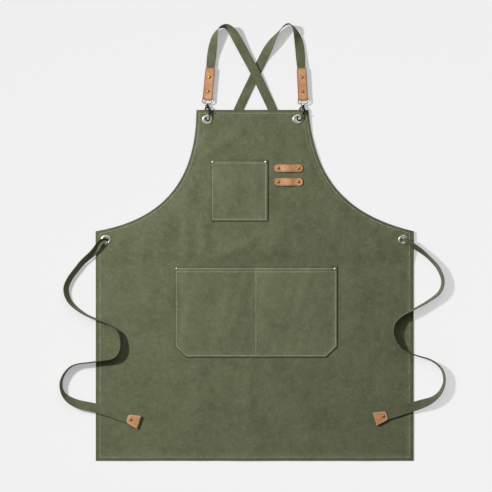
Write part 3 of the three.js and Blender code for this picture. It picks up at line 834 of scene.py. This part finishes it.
def cloth_solid(name, flat, faces, top, bottom, material):
    """Closes a flat triangulation into a thin solid between two heights."""
    count = len(flat)
    points = [(x, y, z) for heights in (top, bottom) for (x, y), z in zip(flat, heights)]
    solid = [tuple(face) for face in faces]
    solid += [tuple(i + count for i in reversed(face)) for face in faces]
    directed = {(a, b) for face in faces for a, b in zip(face, (*face[1:], face[0]))}
    for a, b in directed:
        if (b, a) not in directed:
            solid.append((a, a + count, b + count, b))
    return make_object(name, points, solid, material)


def paint_cloth(piece, **shares):
    """Paints one share for each flat point on both faces of a cloth."""
    for name, values in shares.items():
        paint_points(piece, name, np.concatenate([values, values]))


def fold_drop(distance, radius):
    """How far a rounded fold falls away within its radius of the edge."""
    reach = np.clip(radius - distance, 0, radius)
    return radius - np.sqrt(radius**2 - reach**2)


def wave_field(flat, length, count, seed):
    """Smooth uneven waves of about that length in millimetres, the same every run."""
    pick = random.Random(seed)
    total = np.zeros(len(flat))
    for _ in range(count):
        turn = pick.uniform(0, TURN)
        start = pick.uniform(0, TURN)
        wave = length * MM * pick.uniform(0.6, 1.7)
        run = flat[:, 0] * math.cos(turn) + flat[:, 1] * math.sin(turn)
        total += np.sin(run * TURN / wave + start)
    return total / math.sqrt(count)


# ---- apron panel

panel_low, panel_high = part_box("apron_panel")
HALF_WIDTH = panel_high.x
HEM_Y = panel_low.y
BIB_TOP_Y = panel_high.y
BIB_FRONT = panel_high.z
SKIRT_FRONT = 2.4 * MM
WAIST_Y = 71 * MM
BIB_HALF_WIDTH = 121 * MM
BIB_LEAN = -5 * MM
HEM_WIDTH = 12 * MM
HEM_EXTRA = 1.4 * MM  # the turned hem's extra thickness, on the back
CANVAS_THICKNESS = 1.0 * MM
WEB_DROP = 0.55 * MM  # how far the cloth inside the hem lies below it
SIDE_STITCH, BOTTOM_STITCH, ARMHOLE_STITCH, TOP_STITCH = (d * MM for d in (9.6, 8.2, 6.6, 7.2))


def armhole(side, rise, flank):
    """One armhole's curve, anticlockwise: rise and flank place its two control points."""
    ends = [
        (side * HALF_WIDTH, WAIST_Y),
        (side * (HALF_WIDTH - 158 * MM), WAIST_Y + rise),
        (side * (BIB_HALF_WIDTH + flank), BIB_TOP_Y - 141 * MM),
        (side * BIB_HALF_WIDTH + BIB_LEAN, BIB_TOP_Y),
    ]
    return bezier(ends[::side], 24)


RIGHT_ARMHOLE = armhole(1, 38.5 * MM, 8.5 * MM)
LEFT_ARMHOLE = armhole(-1, 27 * MM, 6 * MM)
PANEL_SIDES = [  # each side's points, the last left out, and its stitch line's inset
    ([(-HALF_WIDTH, HEM_Y)], BOTTOM_STITCH),
    ([(HALF_WIDTH, HEM_Y)], SIDE_STITCH),
    (RIGHT_ARMHOLE[:-1], ARMHOLE_STITCH),
    (RIGHT_ARMHOLE[-1:], TOP_STITCH),
    (LEFT_ARMHOLE[:-1], ARMHOLE_STITCH),
    (LEFT_ARMHOLE[-1:], SIDE_STITCH),
]
PANEL_OUTLINE = np.array([point for points, _ in PANEL_SIDES for point in points])
PANEL_INSETS = [inset for points, inset in PANEL_SIDES for _ in points]
PANEL_STITCH = offset_loop(PANEL_OUTLINE, PANEL_INSETS)

EYELETS = [f"{place}_eyelet_{side}" for place in ("bib", "waist") for side in ("left", "right")]
POCKET_RIVETS = [
    f"{pocket}_pocket_rivet_{side}" for pocket in ("chest", "waist") for side in ("left", "right")
]
TOOL_LOOPS = ("upper_tool_loop", "lower_tool_loop")

# soft folds in millimetres: from, to, height and half width
FOLDS = (
    ((-30, 284), (-103, 236), 1.7, 11),
    ((-108, 272), (-134, 226), 1.2, 9),
    ((-2, 300), (40, 262), 0.9, 15),
    ((50, 245), (104, 268), 0.7, 13),
    ((-112, 82), (-104, 14), 2.0, 12),
    ((-146, 92), (-148, 22), 1.2, 11),
    ((-196, 60), (-190, -60), 0.8, 18),
    ((-12, 44), (-92, 10), 1.5, 11),
    ((66, 84), (40, 40), 0.9, 16),
    ((20, 150), (96, 140), 0.8, 14),
    ((-286, 30), (-292, -160), 0.7, 20),
    ((-242, 20), (-236, -120), 0.7, 16),
    ((-14, -214), (-10, -356), 1.0, 13),
    ((-118, -230), (-128, -350), 0.9, 17),
    ((-70, -246), (-62, -372), 0.6, 13),
    ((92, -236), (118, -372), 0.7, 20),
    ((216, 20), (226, -130), 0.6, 22),
    ((-250, 96), (-296, 46), 0.9, 12),
    ((214, 96), (262, 50), 0.7, 13),
)

FOLD_STRENGTH = 1.4


def clear_of(flat, nodes, near, far):
    """0 within near millimetres of any of the nodes' middles, and 1 beyond far."""
    free = np.ones(len(flat))
    for node in nodes:
        free *= smoothstep(distance_from(flat, middle(node)), near, far)
    return free


def calm(flat):
    """0 where hardware holds the cloth flat, 1 where it lies free."""
    x, y = flat.T
    free = clear_of(flat, EYELETS, 15, 34) * clear_of(flat, POCKET_RIVETS, 5, 18)
    for node in TOOL_LOOPS:
        low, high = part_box(node)
        ends = [(low.x, middle(node).y), (high.x, middle(node).y)]
        free *= smoothstep(distance_to(flat, ends, closed=False), 7, 20)
    under_ties = smoothstep(np.abs(x), 245, 285) * (1 - smoothstep(y, -40, 40))
    return free * (1 - 0.72 * under_ties)


def panel_rest(flat):
    """The panel's front, without its hem and stitching."""
    y = flat[:, 1]
    height = SKIRT_FRONT + (BIB_FRONT - SKIRT_FRONT) * smoothstep(y, -5, 32)
    upper = 0.45 + 0.55 * smoothstep(y, -260, -20)
    relief = 0.62 * wave_field(flat, 95, 9, 3)
    relief += 0.36 * wave_field(flat, 34, 9, 5) * upper
    relief += 0.11 * wave_field(flat, 15, 9, 8) * upper
    for start, end, rise, width in FOLDS:
        away = distance_to(flat, np.array([start, end]) * MM, closed=False)
        relief += FOLD_STRENGTH * rise * bell(away, width)
    edge = np.minimum(*(distance_to(flat, line, closed=False) for line in (RIGHT_ARMHOLE, LEFT_ARMHOLE)))
    droop = 3.0 * MM * (1 - smoothstep(edge, 2, 34)) * clear_of(flat, EYELETS, 16, 48)
    return height + relief * MM * calm(flat) - droop * smoothstep(y, 30, 80)


def within_hem(edge):
    """1 inside the hem's inner edge, 0 on the hem."""
    return smoothstep(edge - HEM_WIDTH, -1, 1)


def panel_top(flat):
    """The panel's front, with the step inside the hem and the line the stitches pull in."""
    edge = distance_to(flat, PANEL_OUTLINE)
    groove = 0.35 * MM * bell(distance_to(flat, PANEL_STITCH), 1.5)
    pucker = 0.16 * MM * wave_field(flat, 12, 7, 21) * bell(edge - 7 * MM, 8)
    step = WEB_DROP * within_hem(edge) ** 2
    return panel_rest(flat) - groove + (pucker - step) * clear_of(flat, EYELETS, 11, 18)


def make_panel():
    rings = (0, 0.35, 0.9, 1.8, 4.2, 6.6, 8.4, 10.2, 11.6, 13.2)
    holes = [middle(node) for node in EYELETS]
    flat, faces = cut_cloth(PANEL_OUTLINE, rings, 4.6 * MM, holes, (7.0, 9.5, 12.5))
    edge = distance_to(flat, PANEL_OUTLINE)
    top = panel_top(flat)
    bottom = np.maximum(top - CANVAS_THICKNESS - HEM_EXTRA * (1 - within_hem(edge)), 0.0)
    top = np.maximum(top, bottom + 0.5 * MM)
    drop = fold_drop(edge, 1.0 * MM)
    piece = cloth_solid("apron_cloth", flat, faces, top - drop, bottom + drop * 0.9, CANVAS)
    wear = 0.35 * bell(edge - HEM_WIDTH, 1.2)
    # painted shade along the panel's cut edge: darkest at the edge and gone 5 mm in
    paint_cloth(piece, wear=wear, soil=0.7 * (1 - smoothstep(edge, 0.5, 5)))
    return settle(piece, "apron", "canvas", "apron_panel")


apron_cloth = make_panel()

# ---- stitching

THREAD_RADIUS = 0.6 * MM
STITCH_PITCH = 3.9 * MM
STITCH_LENGTH = 3.1 * MM
STITCH_LIFT = 0.05 * MM
STITCH_SHAPE = (  # run and height, by its length and its radius, and how thick it is
    (-0.5, -0.9, 0.45),
    (-0.4, 0.1, 0.95),
    (0, 0.45, 1.0),
    (0.4, 0.1, 0.95),
    (0.5, -0.9, 0.45),
)


def stitch_rings(centre, along):
    """One stitch: a short thread that comes up, lies on the cloth and goes down."""
    across = np.array((-along[1], along[0], 0.0))
    rings = []
    for run, height, size in STITCH_SHAPE:
        heart = centre + along * run * STITCH_LENGTH + UP * (height * THREAD_RADIUS + STITCH_LIFT)
        rings.append([heart + across * a + UP * b for a, b in round_section(THREAD_RADIUS * size, 6)])
    return rings


def make_stitching(name, lines, height, seed):
    """Rows of stitches along flat lines, lying on the cloth whose front is height(flat)."""
    pick = random.Random(seed)
    spots = []
    ways = []
    for line, closed in lines:
        fine = resample(line, 1.0 * MM, closed)
        if closed:
            fine = np.vstack([fine, fine[:1]])
        run = runs_along(fine)
        count = max(1, round(run[-1] / STITCH_PITCH))
        for at in (np.arange(count) + 0.5) / count * run[-1]:
            spot, ahead, behind = (
                np.array([np.interp(at + step * MM, run, fine[:, axis]) for axis in (0, 1)])
                for step in (0, 0.8, -0.8)
            )
            along = unit(ahead - behind)
            side = np.array((-along[1], along[0]))
            spots.append(spot)
            ways.append(unit(along + side * pick.uniform(-0.06, 0.06)))
    flat = np.array(spots)
    reach = 0.4 * STITCH_LENGTH
    step = reach * np.array(ways)
    slopes = (height(flat + step) - height(flat - step)) / (2 * reach)
    centres = np.column_stack([flat, height(flat)])
    directions = np.column_stack([ways, slopes])
    parts = [skin(stitch_rings(centre, unit(along))) for centre, along in zip(centres, directions)]
    return settle(make_object(name, *merged(parts), THREAD), "apron", "canvas")


panel_stitching = make_stitching("apron_stitching", [(PANEL_STITCH, True)], panel_top, 1)

# ---- pockets


class Pocket:
    """A patch pocket: three sewn sides, an open hemmed mouth, and room inside."""

    def __init__(self, node, cut, seam, mouth_stitches, seed, divider=None):
        self.low, self.high = low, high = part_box(node)
        self.node, self.cut, self.seam, self.seed = node, cut, seam, seed
        self.mouth_stitches, self.divider = mouth_stitches, divider
        x, y = cut
        corners = [(low.x + x, low.y), (high.x - x, low.y), (high.x, low.y + y)]
        corners += [(high.x, high.y), (low.x, high.y), (low.x, low.y + y)]
        corners = list(dict.fromkeys(corners))  # a square corner comes only once
        mouth = corners.index((high.x, high.y))
        insets = [0.0 if i == mouth else seam for i in range(len(corners))]
        self.outline = np.array(corners)
        # from the top left corner round to the top right
        self.sewn = np.roll(self.outline, -mouth - 1, 0)
        self.seam_line = np.roll(offset_loop(corners, insets), -mouth - 1, 0)

    def stitch_lines(self):
        top = self.high.y
        left, right = self.seam_line[0][0], self.seam_line[-1][0]
        lines = [(self.seam_line, False)]
        lines += [([(left, top - down), (right, top - down)], False) for down in self.mouth_stitches]
        if self.divider is not None:
            foot = self.low.y + self.seam
            lines.append(([(self.divider, top - 1 * MM), (self.divider, foot)], False))
        return lines

    def top(self, flat):
        x, y = flat.T
        side = distance_to(flat, self.sewn, closed=False)
        share = np.clip((y - self.low.y) / (self.high.y - self.low.y), 0, 1)
        room = smoothstep(side, 4, 34) * (0.5 + 0.5 * share)
        if self.divider is not None:
            room *= smoothstep(np.abs(x - self.divider), 1, 30)
        height = 1.75 + 1.9 * room
        height += 0.35 * (1 - smoothstep(self.high.y - y, 12.5, 14))
        height += 0.8 * (1 - smoothstep(side, 3, 10))
        height += 0.42 * wave_field(flat, 40, 8, self.seed) * smoothstep(side, 2, 12)
        height += 0.1 * wave_field(flat, 11, 7, self.seed + 1) * bell(side - 5 * MM, 7)
        for line, closed in self.stitch_lines():
            height -= 0.35 * bell(distance_to(flat, line, closed), 1.4)
        for node in POCKET_RIVETS:
            if node.startswith(self.node):
                height -= 0.6 * bell(distance_from(flat, middle(node)), 6)
        return panel_rest(flat) - WEB_DROP + height * MM

    def make_cloth(self):
        flat, faces = cut_cloth(self.outline, (0, 0.35, 0.9, 2.2, 4.0, 5.6, 7.4), 3.6 * MM)
        edge = distance_to(flat, self.outline)
        side = distance_to(flat, self.sewn, closed=False)
        top = self.top(flat)
        floor = panel_rest(flat) - WEB_DROP + 0.08 * MM
        bottom = np.maximum(top - (1.05 + 1.3 * bell(side, 7)) * MM, floor)
        top -= fold_drop(side, 0.9 * MM)
        piece = cloth_solid(f"{self.node}_cloth", flat, faces, top, bottom, POCKET_CANVAS)
        wear = 0.25 * bell(edge - 5 * MM, 2)
        # painted shade along all the pocket's edges, mouth included: darkest at the edge and gone 2.4 mm
        # in
        paint_cloth(piece, wear=wear, soil=1 - smoothstep(edge, 0.4, 2.4))
        return settle(piece, "apron", "pocket_canvas", self.node)


def make_pocket(pocket, seed):
    cloth = pocket.make_cloth()
    return cloth, make_stitching(f"{pocket.node}_stitching", pocket.stitch_lines(), pocket.top, seed)


chest = Pocket("chest_pocket", (0, 0), 4.6 * MM, [7 * MM], 30)
waist = Pocket("waist_pocket", (25 * MM, 23 * MM), 3.8 * MM, [4 * MM, 11 * MM], 40, 2.7 * MM)
chest_cloth, chest_stitching = make_pocket(chest, 2)
waist_cloth, waist_stitching = make_pocket(waist, 3)

# ---- tool loops


def make_tool_loop(node):
    """A strip of thick leather, flat under its rivets and humped between them."""
    low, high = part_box(node)
    half = (high.x - low.x) / 2
    thick = 2.2 * MM
    seat = low.z - 0.25 * MM + thick / 2
    crest = high.z - thick / 2
    width = high.y - low.y
    end = [-half + d * MM for d in (0, 0.12, 0.45, 1.0, 1.9, 3.2, 5.0, 7.0, 10.0)]
    path = []
    for x in (*end, *(np.linspace(-18, 18, 37) * MM), *(-x for x in reversed(end))):
        path.append((x, seat + 0.7 * (crest - seat) * float(smoothstep(abs(x), 19, 1))))

    def width_at(along):
        """Full width, but for a round end."""
        short = max(7 * MM - max(half - abs(along), 0.02 * MM), 0)
        return width * math.sqrt(1 - (short / (7 * MM)) ** 2)

    origin = (*middle(node)[:2], 0.0)
    piece = leather_strip(node, path, width_at, origin, 0.0, thick, 0.7 * MM)
    settle(piece, "apron", "leather", node)
    for side in ("left", "right"):
        make_rivet(f"{node}_rivet_{side}", "apron", "antique_brass", BRASS)


for loop_node in TOOL_LOOPS:
    make_tool_loop(loop_node)
for rivet_node in POCKET_RIVETS:
    make_rivet(rivet_node, "apron", "nickel", NICKEL)

# ---- eyelets

EYELET_HOLE = 6 * MM


def make_eyelet(node):
    """A rolled eyelet through the hem and its flat washer behind the cloth."""
    low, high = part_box(node)
    bottom, top = low.z, high.z
    hole, outer = EYELET_HOLE, (high.x - low.x) / 2
    seat = BIB_FRONT - 0.15 * MM
    rows = [(hole, 0, bottom, 0.5), (hole, 0, top, -0.75)]
    for i in range(1, 8):
        angle = math.pi - i / 8 * math.pi / 2
        rows.append((hole, 1.68 * (1 + math.cos(angle)), top, 0.75 * (math.sin(angle) - 1)))
    rows += [(hole, 2.0, top, 0), (hole, 3.0, top, -0.08), (outer, -1.2, top, -0.35)]
    rows += [(outer, -0.35, top, -0.62), (outer, 0, seat, 0.2), (outer, -0.2, seat, 0)]
    rows += [(hole, 0.8, seat, 0), (hole, 0.8, bottom, 0.8), (hole, 2.0, bottom, 0.8)]
    rows += [(hole, 2.3, bottom, 0.4), (hole, 1.6, bottom, 0.02), (hole, 0.7, bottom, 0)]
    profile = [(radius + out * MM, level + up * MM) for radius, out, level, up in rows]
    turned_piece(node, "apron", "nickel", NICKEL, profile, 56, close=True)

    washer = f"{node}_washer"
    low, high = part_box(washer)
    top = high.z + 0.4 * MM
    inner = hole + 1.1 * MM
    ring = [(inner, low.z + 0.2 * MM), (inner + 0.2 * MM, low.z), (outer - 0.9 * MM, low.z)]
    ring += [(outer - 0.2 * MM, low.z + 0.2 * MM), (outer, top), (inner, top)]
    turned_piece(washer, "apron", "nickel", NICKEL, ring, 56, close=True)


for eyelet_node in EYELETS:
    make_eyelet(eyelet_node)

# ---- swivel snaps and strap tabs

# a snap's own axes, in millimetres: its shank along +Y and its ring's middle line at z 0
RING_TILT = math.radians(50)
RING_HALF = 7
HOOK_WIRE = 1.65
LOOP_Y = 37
D_WIRE = 1.4
SPRING_LOW = 19.3
SPRING_HIGH = 25.9
SPRING_TURNS = 4
STUD_Y = 17.6
STUD_TIP = 12.6
BAR_ABOVE = 11 * MM
TAB_TOP = 78.1 * MM
TAB_WIDTH = 21 * MM
TAB_LEATHER = 1.8 * MM
TAB_TURNS = {"left": -5.5, "right": 3.0}


def apply_modifiers(piece):
    graph = bpy.context.evaluated_depsgraph_get()
    mesh = bpy.data.meshes.new_from_object(piece.evaluated_get(graph))
    piece.modifiers.clear()
    piece.data = mesh
    return piece


def join_parts(name, parts, material):
    """One object from several (points, faces)."""
    return tidy(make_object(name, *merged(parts), material), 1e-7)


def cast(piece, voxel, passes):
    """Runs overlapping shapes into one casting with small fillets."""
    remesh = piece.modifiers.new("remesh", "REMESH")
    remesh.mode = "VOXEL"
    remesh.voxel_size = voxel
    remesh.use_smooth_shade = True
    smooth = piece.modifiers.new("smooth", "SMOOTH")
    smooth.factor = 0.5
    smooth.iterations = passes
    return apply_modifiers(piece)


def cut_away(piece, part):
    """Takes a shape out of a piece."""
    cutter = join_parts("cutter", [part], GUNMETAL)
    boolean = piece.modifiers.new("cut", "BOOLEAN")
    boolean.operation = "DIFFERENCE"
    boolean.solver = "EXACT"
    boolean.object = cutter
    apply_modifiers(piece)
    bpy.data.objects.remove(cutter)


def moved(part, matrix):
    points, faces = part
    return [matrix @ Vector(p) for p in points], faces


def scaled(part):
    """A part drawn in millimetres, in metres."""
    points, faces = part
    return [tuple(v * MM for v in p) for p in points], faces


def rod(x, radius, low, high, edge):
    """A turned bar along Y with rounded ends, its axis at x."""
    end = [(radius - edge, 0), (radius - 0.3 * edge, 0.3 * edge), (radius, edge)]
    profile = [(0, low), *((r, low + d) for r, d in end)]
    profile += [*((r, high - d) for r, d in reversed(end)), (0, high)]
    points, faces = lathe(profile, 28)
    return scaled(([(x + a, z, -b) for a, b, z in points], faces))


def bent_bar(points, radius, sides=20, per_span=6):
    """A round bar along a smooth curve through the points."""
    points = spline(points, per_span)
    directions = headings(points)
    rings = []
    side = UP if abs(directions[0][2]) < 0.9 else np.array((1.0, 0.0, 0.0))
    for point, along in zip(points, directions):
        side = unit(side - along * float(side @ along))
        other = np.cross(along, side)
        rings.append([point + side * a + other * b for a, b in round_section(radius, sides)])
    return scaled(skin(rings))


def place_piece(piece, matrix, body, slot, node):
    piece.data.transform(matrix)
    piece.data.update()
    return settle(piece, body, slot, node)


def make_casting(side, ring):
    """The snap's body: its ring and its bolt's barrel, with the bolt's bore and its stud's slot."""
    spine = [(0, 30, 0), (-3.1, 29.4, 0), (-5.9, 27.2, 0), (-7, 23.5, 0), (-7, 19, 0), (-7, 14, 0)]
    for i in range(1, 12):
        angle = math.pi + i / 12 * math.pi
        spine.append((RING_HALF * math.cos(angle), 7 + RING_HALF * math.sin(angle), 0))
    spine += [(7, 7.6, 0), (7, 10.8, 0)]
    arm = [(0, 31, 0), (2.6, 30.8, 0), (5.2, 29.6, 0), (7, 26.4, 0)]
    parts = [
        bent_bar(spine, HOOK_WIRE),
        bent_bar(arm, HOOK_WIRE),
        rod(RING_HALF, 2.9, 15.6, 27.8, 0.5),
        rod(0, 3.8, 27.4, 34.6, 0.9),
        rod(RING_HALF, 3.15, 15.6, 17.0, 0.4),
    ]
    hook = cast(join_parts(f"{side}_snap_casting", parts, GUNMETAL), 0.3 * MM, 3)
    slot = [(x, y, z) for x in (7, 12) for y in (16.2, 23.8) for z in (-1.25, 1.25)]
    slot_faces = [(0, 1, 3, 2), (4, 6, 7, 5), (0, 4, 5, 1), (2, 3, 7, 6), (0, 2, 6, 4), (1, 5, 7, 3)]
    cut_away(hook, scaled((slot, slot_faces)))
    cut_away(hook, rod(RING_HALF, 1.5, 14.6, 26.4, 0.1))
    place_piece(hook, ring, "apron", "gunmetal", f"{side}_snap_body")


def make_bolt(side, ring):
    """The spring bolt, with the thumb stud that draws it back."""
    knob = [(0, -1.5)]
    for angle in np.linspace(-math.pi * 0.42, math.pi * 0.42, 11):
        knob.append((1.5 * math.cos(angle), 1.5 * math.sin(angle)))
    knob.append((0, 1.5))
    points, faces = lathe(knob, 20)
    points = [(STUD_TIP + z, STUD_Y + b, a) for a, b, z in points]
    parts = [
        rod(RING_HALF, 1.2, 11.1, 18.8, 0.4),
        bent_bar([(x, STUD_Y, 0) for x in (RING_HALF, 10, STUD_TIP)], 0.9, 16),
        scaled((points, faces)),
    ]
    bolt = join_parts(f"{side}_snap_bolt_metal", parts, GUNMETAL)
    place_piece(bolt, ring, f"{side}_bolt", "gunmetal", f"{side}_snap_bolt")


def make_spring(side, ring, axis):
    """The bolt's coil spring at its resting length; the bolt squeezes it as it slides back, but here it
    keeps its shape.
    """
    long = SPRING_HIGH - SPRING_LOW
    steps = SPRING_TURNS * 12
    helix = []
    for i in range(steps + 1):
        angle = TURN * i / 12
        helix.append((RING_HALF + math.cos(angle), SPRING_LOW + long * i / steps, math.sin(angle)))
    spring = make_object(f"{side}_snap_coil", *bent_bar(helix, 0.2, 8, 2), NICKEL)
    place_piece(spring, ring, "apron", "nickel", f"{side}_snap_spring")
    tuple(axis)
    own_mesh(spring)


def make_eye(side, shank, tab_frame):
    """The swivelling D loop with its stem, whose head turns inside the body."""
    half = [(0, 0.1), (2.6, 0.12), (5.2, 0.5), (7.8, 1.3), (9.8, 2.7), (11.2, 4.6), (11.9, 7.1)]
    half += [(11.9, 8.8), (11.4, 10.1), (10.2, 10.9), (8, 11), (5.4, 11), (2.7, 11), (0, 11)]
    line = [(x, y, 0) for x, y in reversed(half)] + [(-x, y, 0) for x, y in half[1:]]
    stem = rod(0, 1.5, 25.5, 37.4, 0.2)
    head = rod(0, 2.6, 24.9, 26.9, 0.5)
    shoulder = rod(0, 2.3, 35.0, 37.6, 0.6)
    parts = [moved(bent_bar(line, D_WIRE, 16, 4), tab_frame)]
    parts += [moved(part, shank) for part in (stem, head, shoulder)]
    eye = cast(join_parts(f"{side}_swivel_metal", parts, NICKEL), 0.25 * MM, 2)
    settle(eye, f"{side}_tab", "nickel", f"{side}_swivel_eye")


def make_tab(side, tab_frame, heading):
    """The leather tab: one strip up the front, round the D loop's bar and down the back."""
    level = 1.1 * MM + TAB_LEATHER / 2
    bend = (D_WIRE + 0.3) * MM + TAB_LEATHER / 2
    path = [(TAB_TOP - d * MM, level) for d in (0, 0.1, 0.5, 1.5, 3, 5, 7)]
    path += [(y * MM, level) for y in np.linspace(68, 20, 22)]
    path += [(y * MM, level + (bend - level) * (20 - y) / 9) for y in (17, 14, 12)]
    front = list(path)
    for angle in np.linspace(0, math.pi, 15):
        path.append((BAR_ABOVE - bend * math.sin(angle), bend * math.cos(angle)))
    path += [(along, -up) for along, up in reversed(front)]

    def width_at(along):
        return TAB_WIDTH - 1.6 * MM * float(smoothstep(along - TAB_TOP, -7, 0))

    shape = (path, width_at, tuple(tab_frame.translation), heading, TAB_LEATHER, LEATHER_CORNER)
    tab = leather_strip(f"{side}_tab", *shape, STRAP_LEATHER)
    settle(tab, f"{side}_tab", "leather", f"{side}_strap_tab")
    for place in ("lower", "upper"):
        make_rivet(f"{side}_strap_tab_rivet_{place}", f"{side}_tab", "antique_brass", BRASS)


def make_snap(side):
    pivot = next(joint for joint in frame["joints"] if joint["name"] == f"{side}_swivel")
    axis = pivot["axis"]
    shank = Matrix.Translation(pivot["pos_m"]) @ Matrix.Rotation(math.atan2(-axis[0], axis[1]), 4, "Z")
    ring = shank @ Matrix.Rotation(-RING_TILT, 4, "Y")
    tab_turn = math.radians(TAB_TURNS[side])
    eye_place = (shank @ Matrix.Translation((0, LOOP_Y * MM, 0))).translation
    tab_frame = Matrix.Translation(eye_place) @ Matrix.Rotation(tab_turn, 4, "Z")
    make_casting(side, ring)
    make_bolt(side, ring)
    make_spring(side, ring, axis)
    make_eye(side, shank, tab_frame)
    make_tab(side, tab_frame, tab_turn + math.pi / 2)


for snap_side in ("left", "right"):
    make_snap(snap_side)

# ---- floor and light

AMBIENT = 0.15
LAMPS = {  # place, power and size: a key light from the left, and a wide soft one above the bib
    "key": ((-1.94, 0.86, 1.98), 83, 0.3),
    "fill": ((0.1, 1.4, 2.2), 13.5, 2.2),
}
FLOOR_SHADE = 0.5
FLOOR_BRIGHTNESS = 0.892
FLOOR_REACH = 6.0
FLOOR_LEVEL = -0.3 * MM


def make_floor():
    """A pale light table: it glows by what the lamps leave out, so it looks even all over."""
    n = Nodes("floor")
    lit = AMBIENT
    for place, power, _ in LAMPS.values():
        away = n.node("ShaderNodeVectorMath", operation="DISTANCE")
        n.feed(n.place(), away.inputs[0])
        n.feed(place, away.inputs[1])
        cube = n.math("POWER", away.outputs["Value"], -3.0)
        lit = n.plus(n.times(cube, power * place[2] / math.pi**2), lit)
    glow = n.math("SUBTRACT", FLOOR_BRIGHTNESS, n.times(lit, FLOOR_SHADE))
    material = n.finish(
        base_color=(FLOOR_SHADE, FLOOR_SHADE, FLOOR_SHADE, 1),
        roughness=0.95,
        emission_color=(1, 1, 1, 1),
        emission_strength=n.math("MAXIMUM", glow, 0.0),
    )
    corners = ((-1, -1), (1, -1), (1, 1), (-1, 1))
    points = [(x * FLOOR_REACH, y * FLOOR_REACH, FLOOR_LEVEL) for x, y in corners]
    make_object("floor", points, [(0, 1, 2, 3)], material)


def add_lamp(name, place, power, size):
    """A round softbox at place, turned to the apron."""
    data = bpy.data.lights.new(name, "AREA")
    data.shape = "DISK"
    data.size = size
    data.energy = power
    lamp = bpy.data.objects.new(name, data)
    lamp.location = place
    lamp.rotation_euler = (-Vector(place)).to_track_quat("-Z", "Y").to_euler()
    scene.collection.objects.link(lamp)


def light_scene():
    world = bpy.data.worlds.new("studio")
    world.use_nodes = True
    world.node_tree.nodes["Background"].inputs["Color"].default_value = (1, 1, 1, 1)
    world.node_tree.nodes["Background"].inputs["Strength"].default_value = AMBIENT
    scene.world = world
    for name, (place, power, size) in LAMPS.items():
        add_lamp(name, place, power, size)
    scene.view_settings.view_transform = "Standard"


make_floor()
light_scene()

# ---- the area inside the panel's hem, worked out but not kept


def outline_area(points):
    nexts = np.roll(points, -1, 0)
    return abs(float((points[:, 0] * nexts[:, 1] - nexts[:, 0] * points[:, 1]).sum())) / 2


outline_area(offset_loop(PANEL_OUTLINE, -HEM_WIDTH))
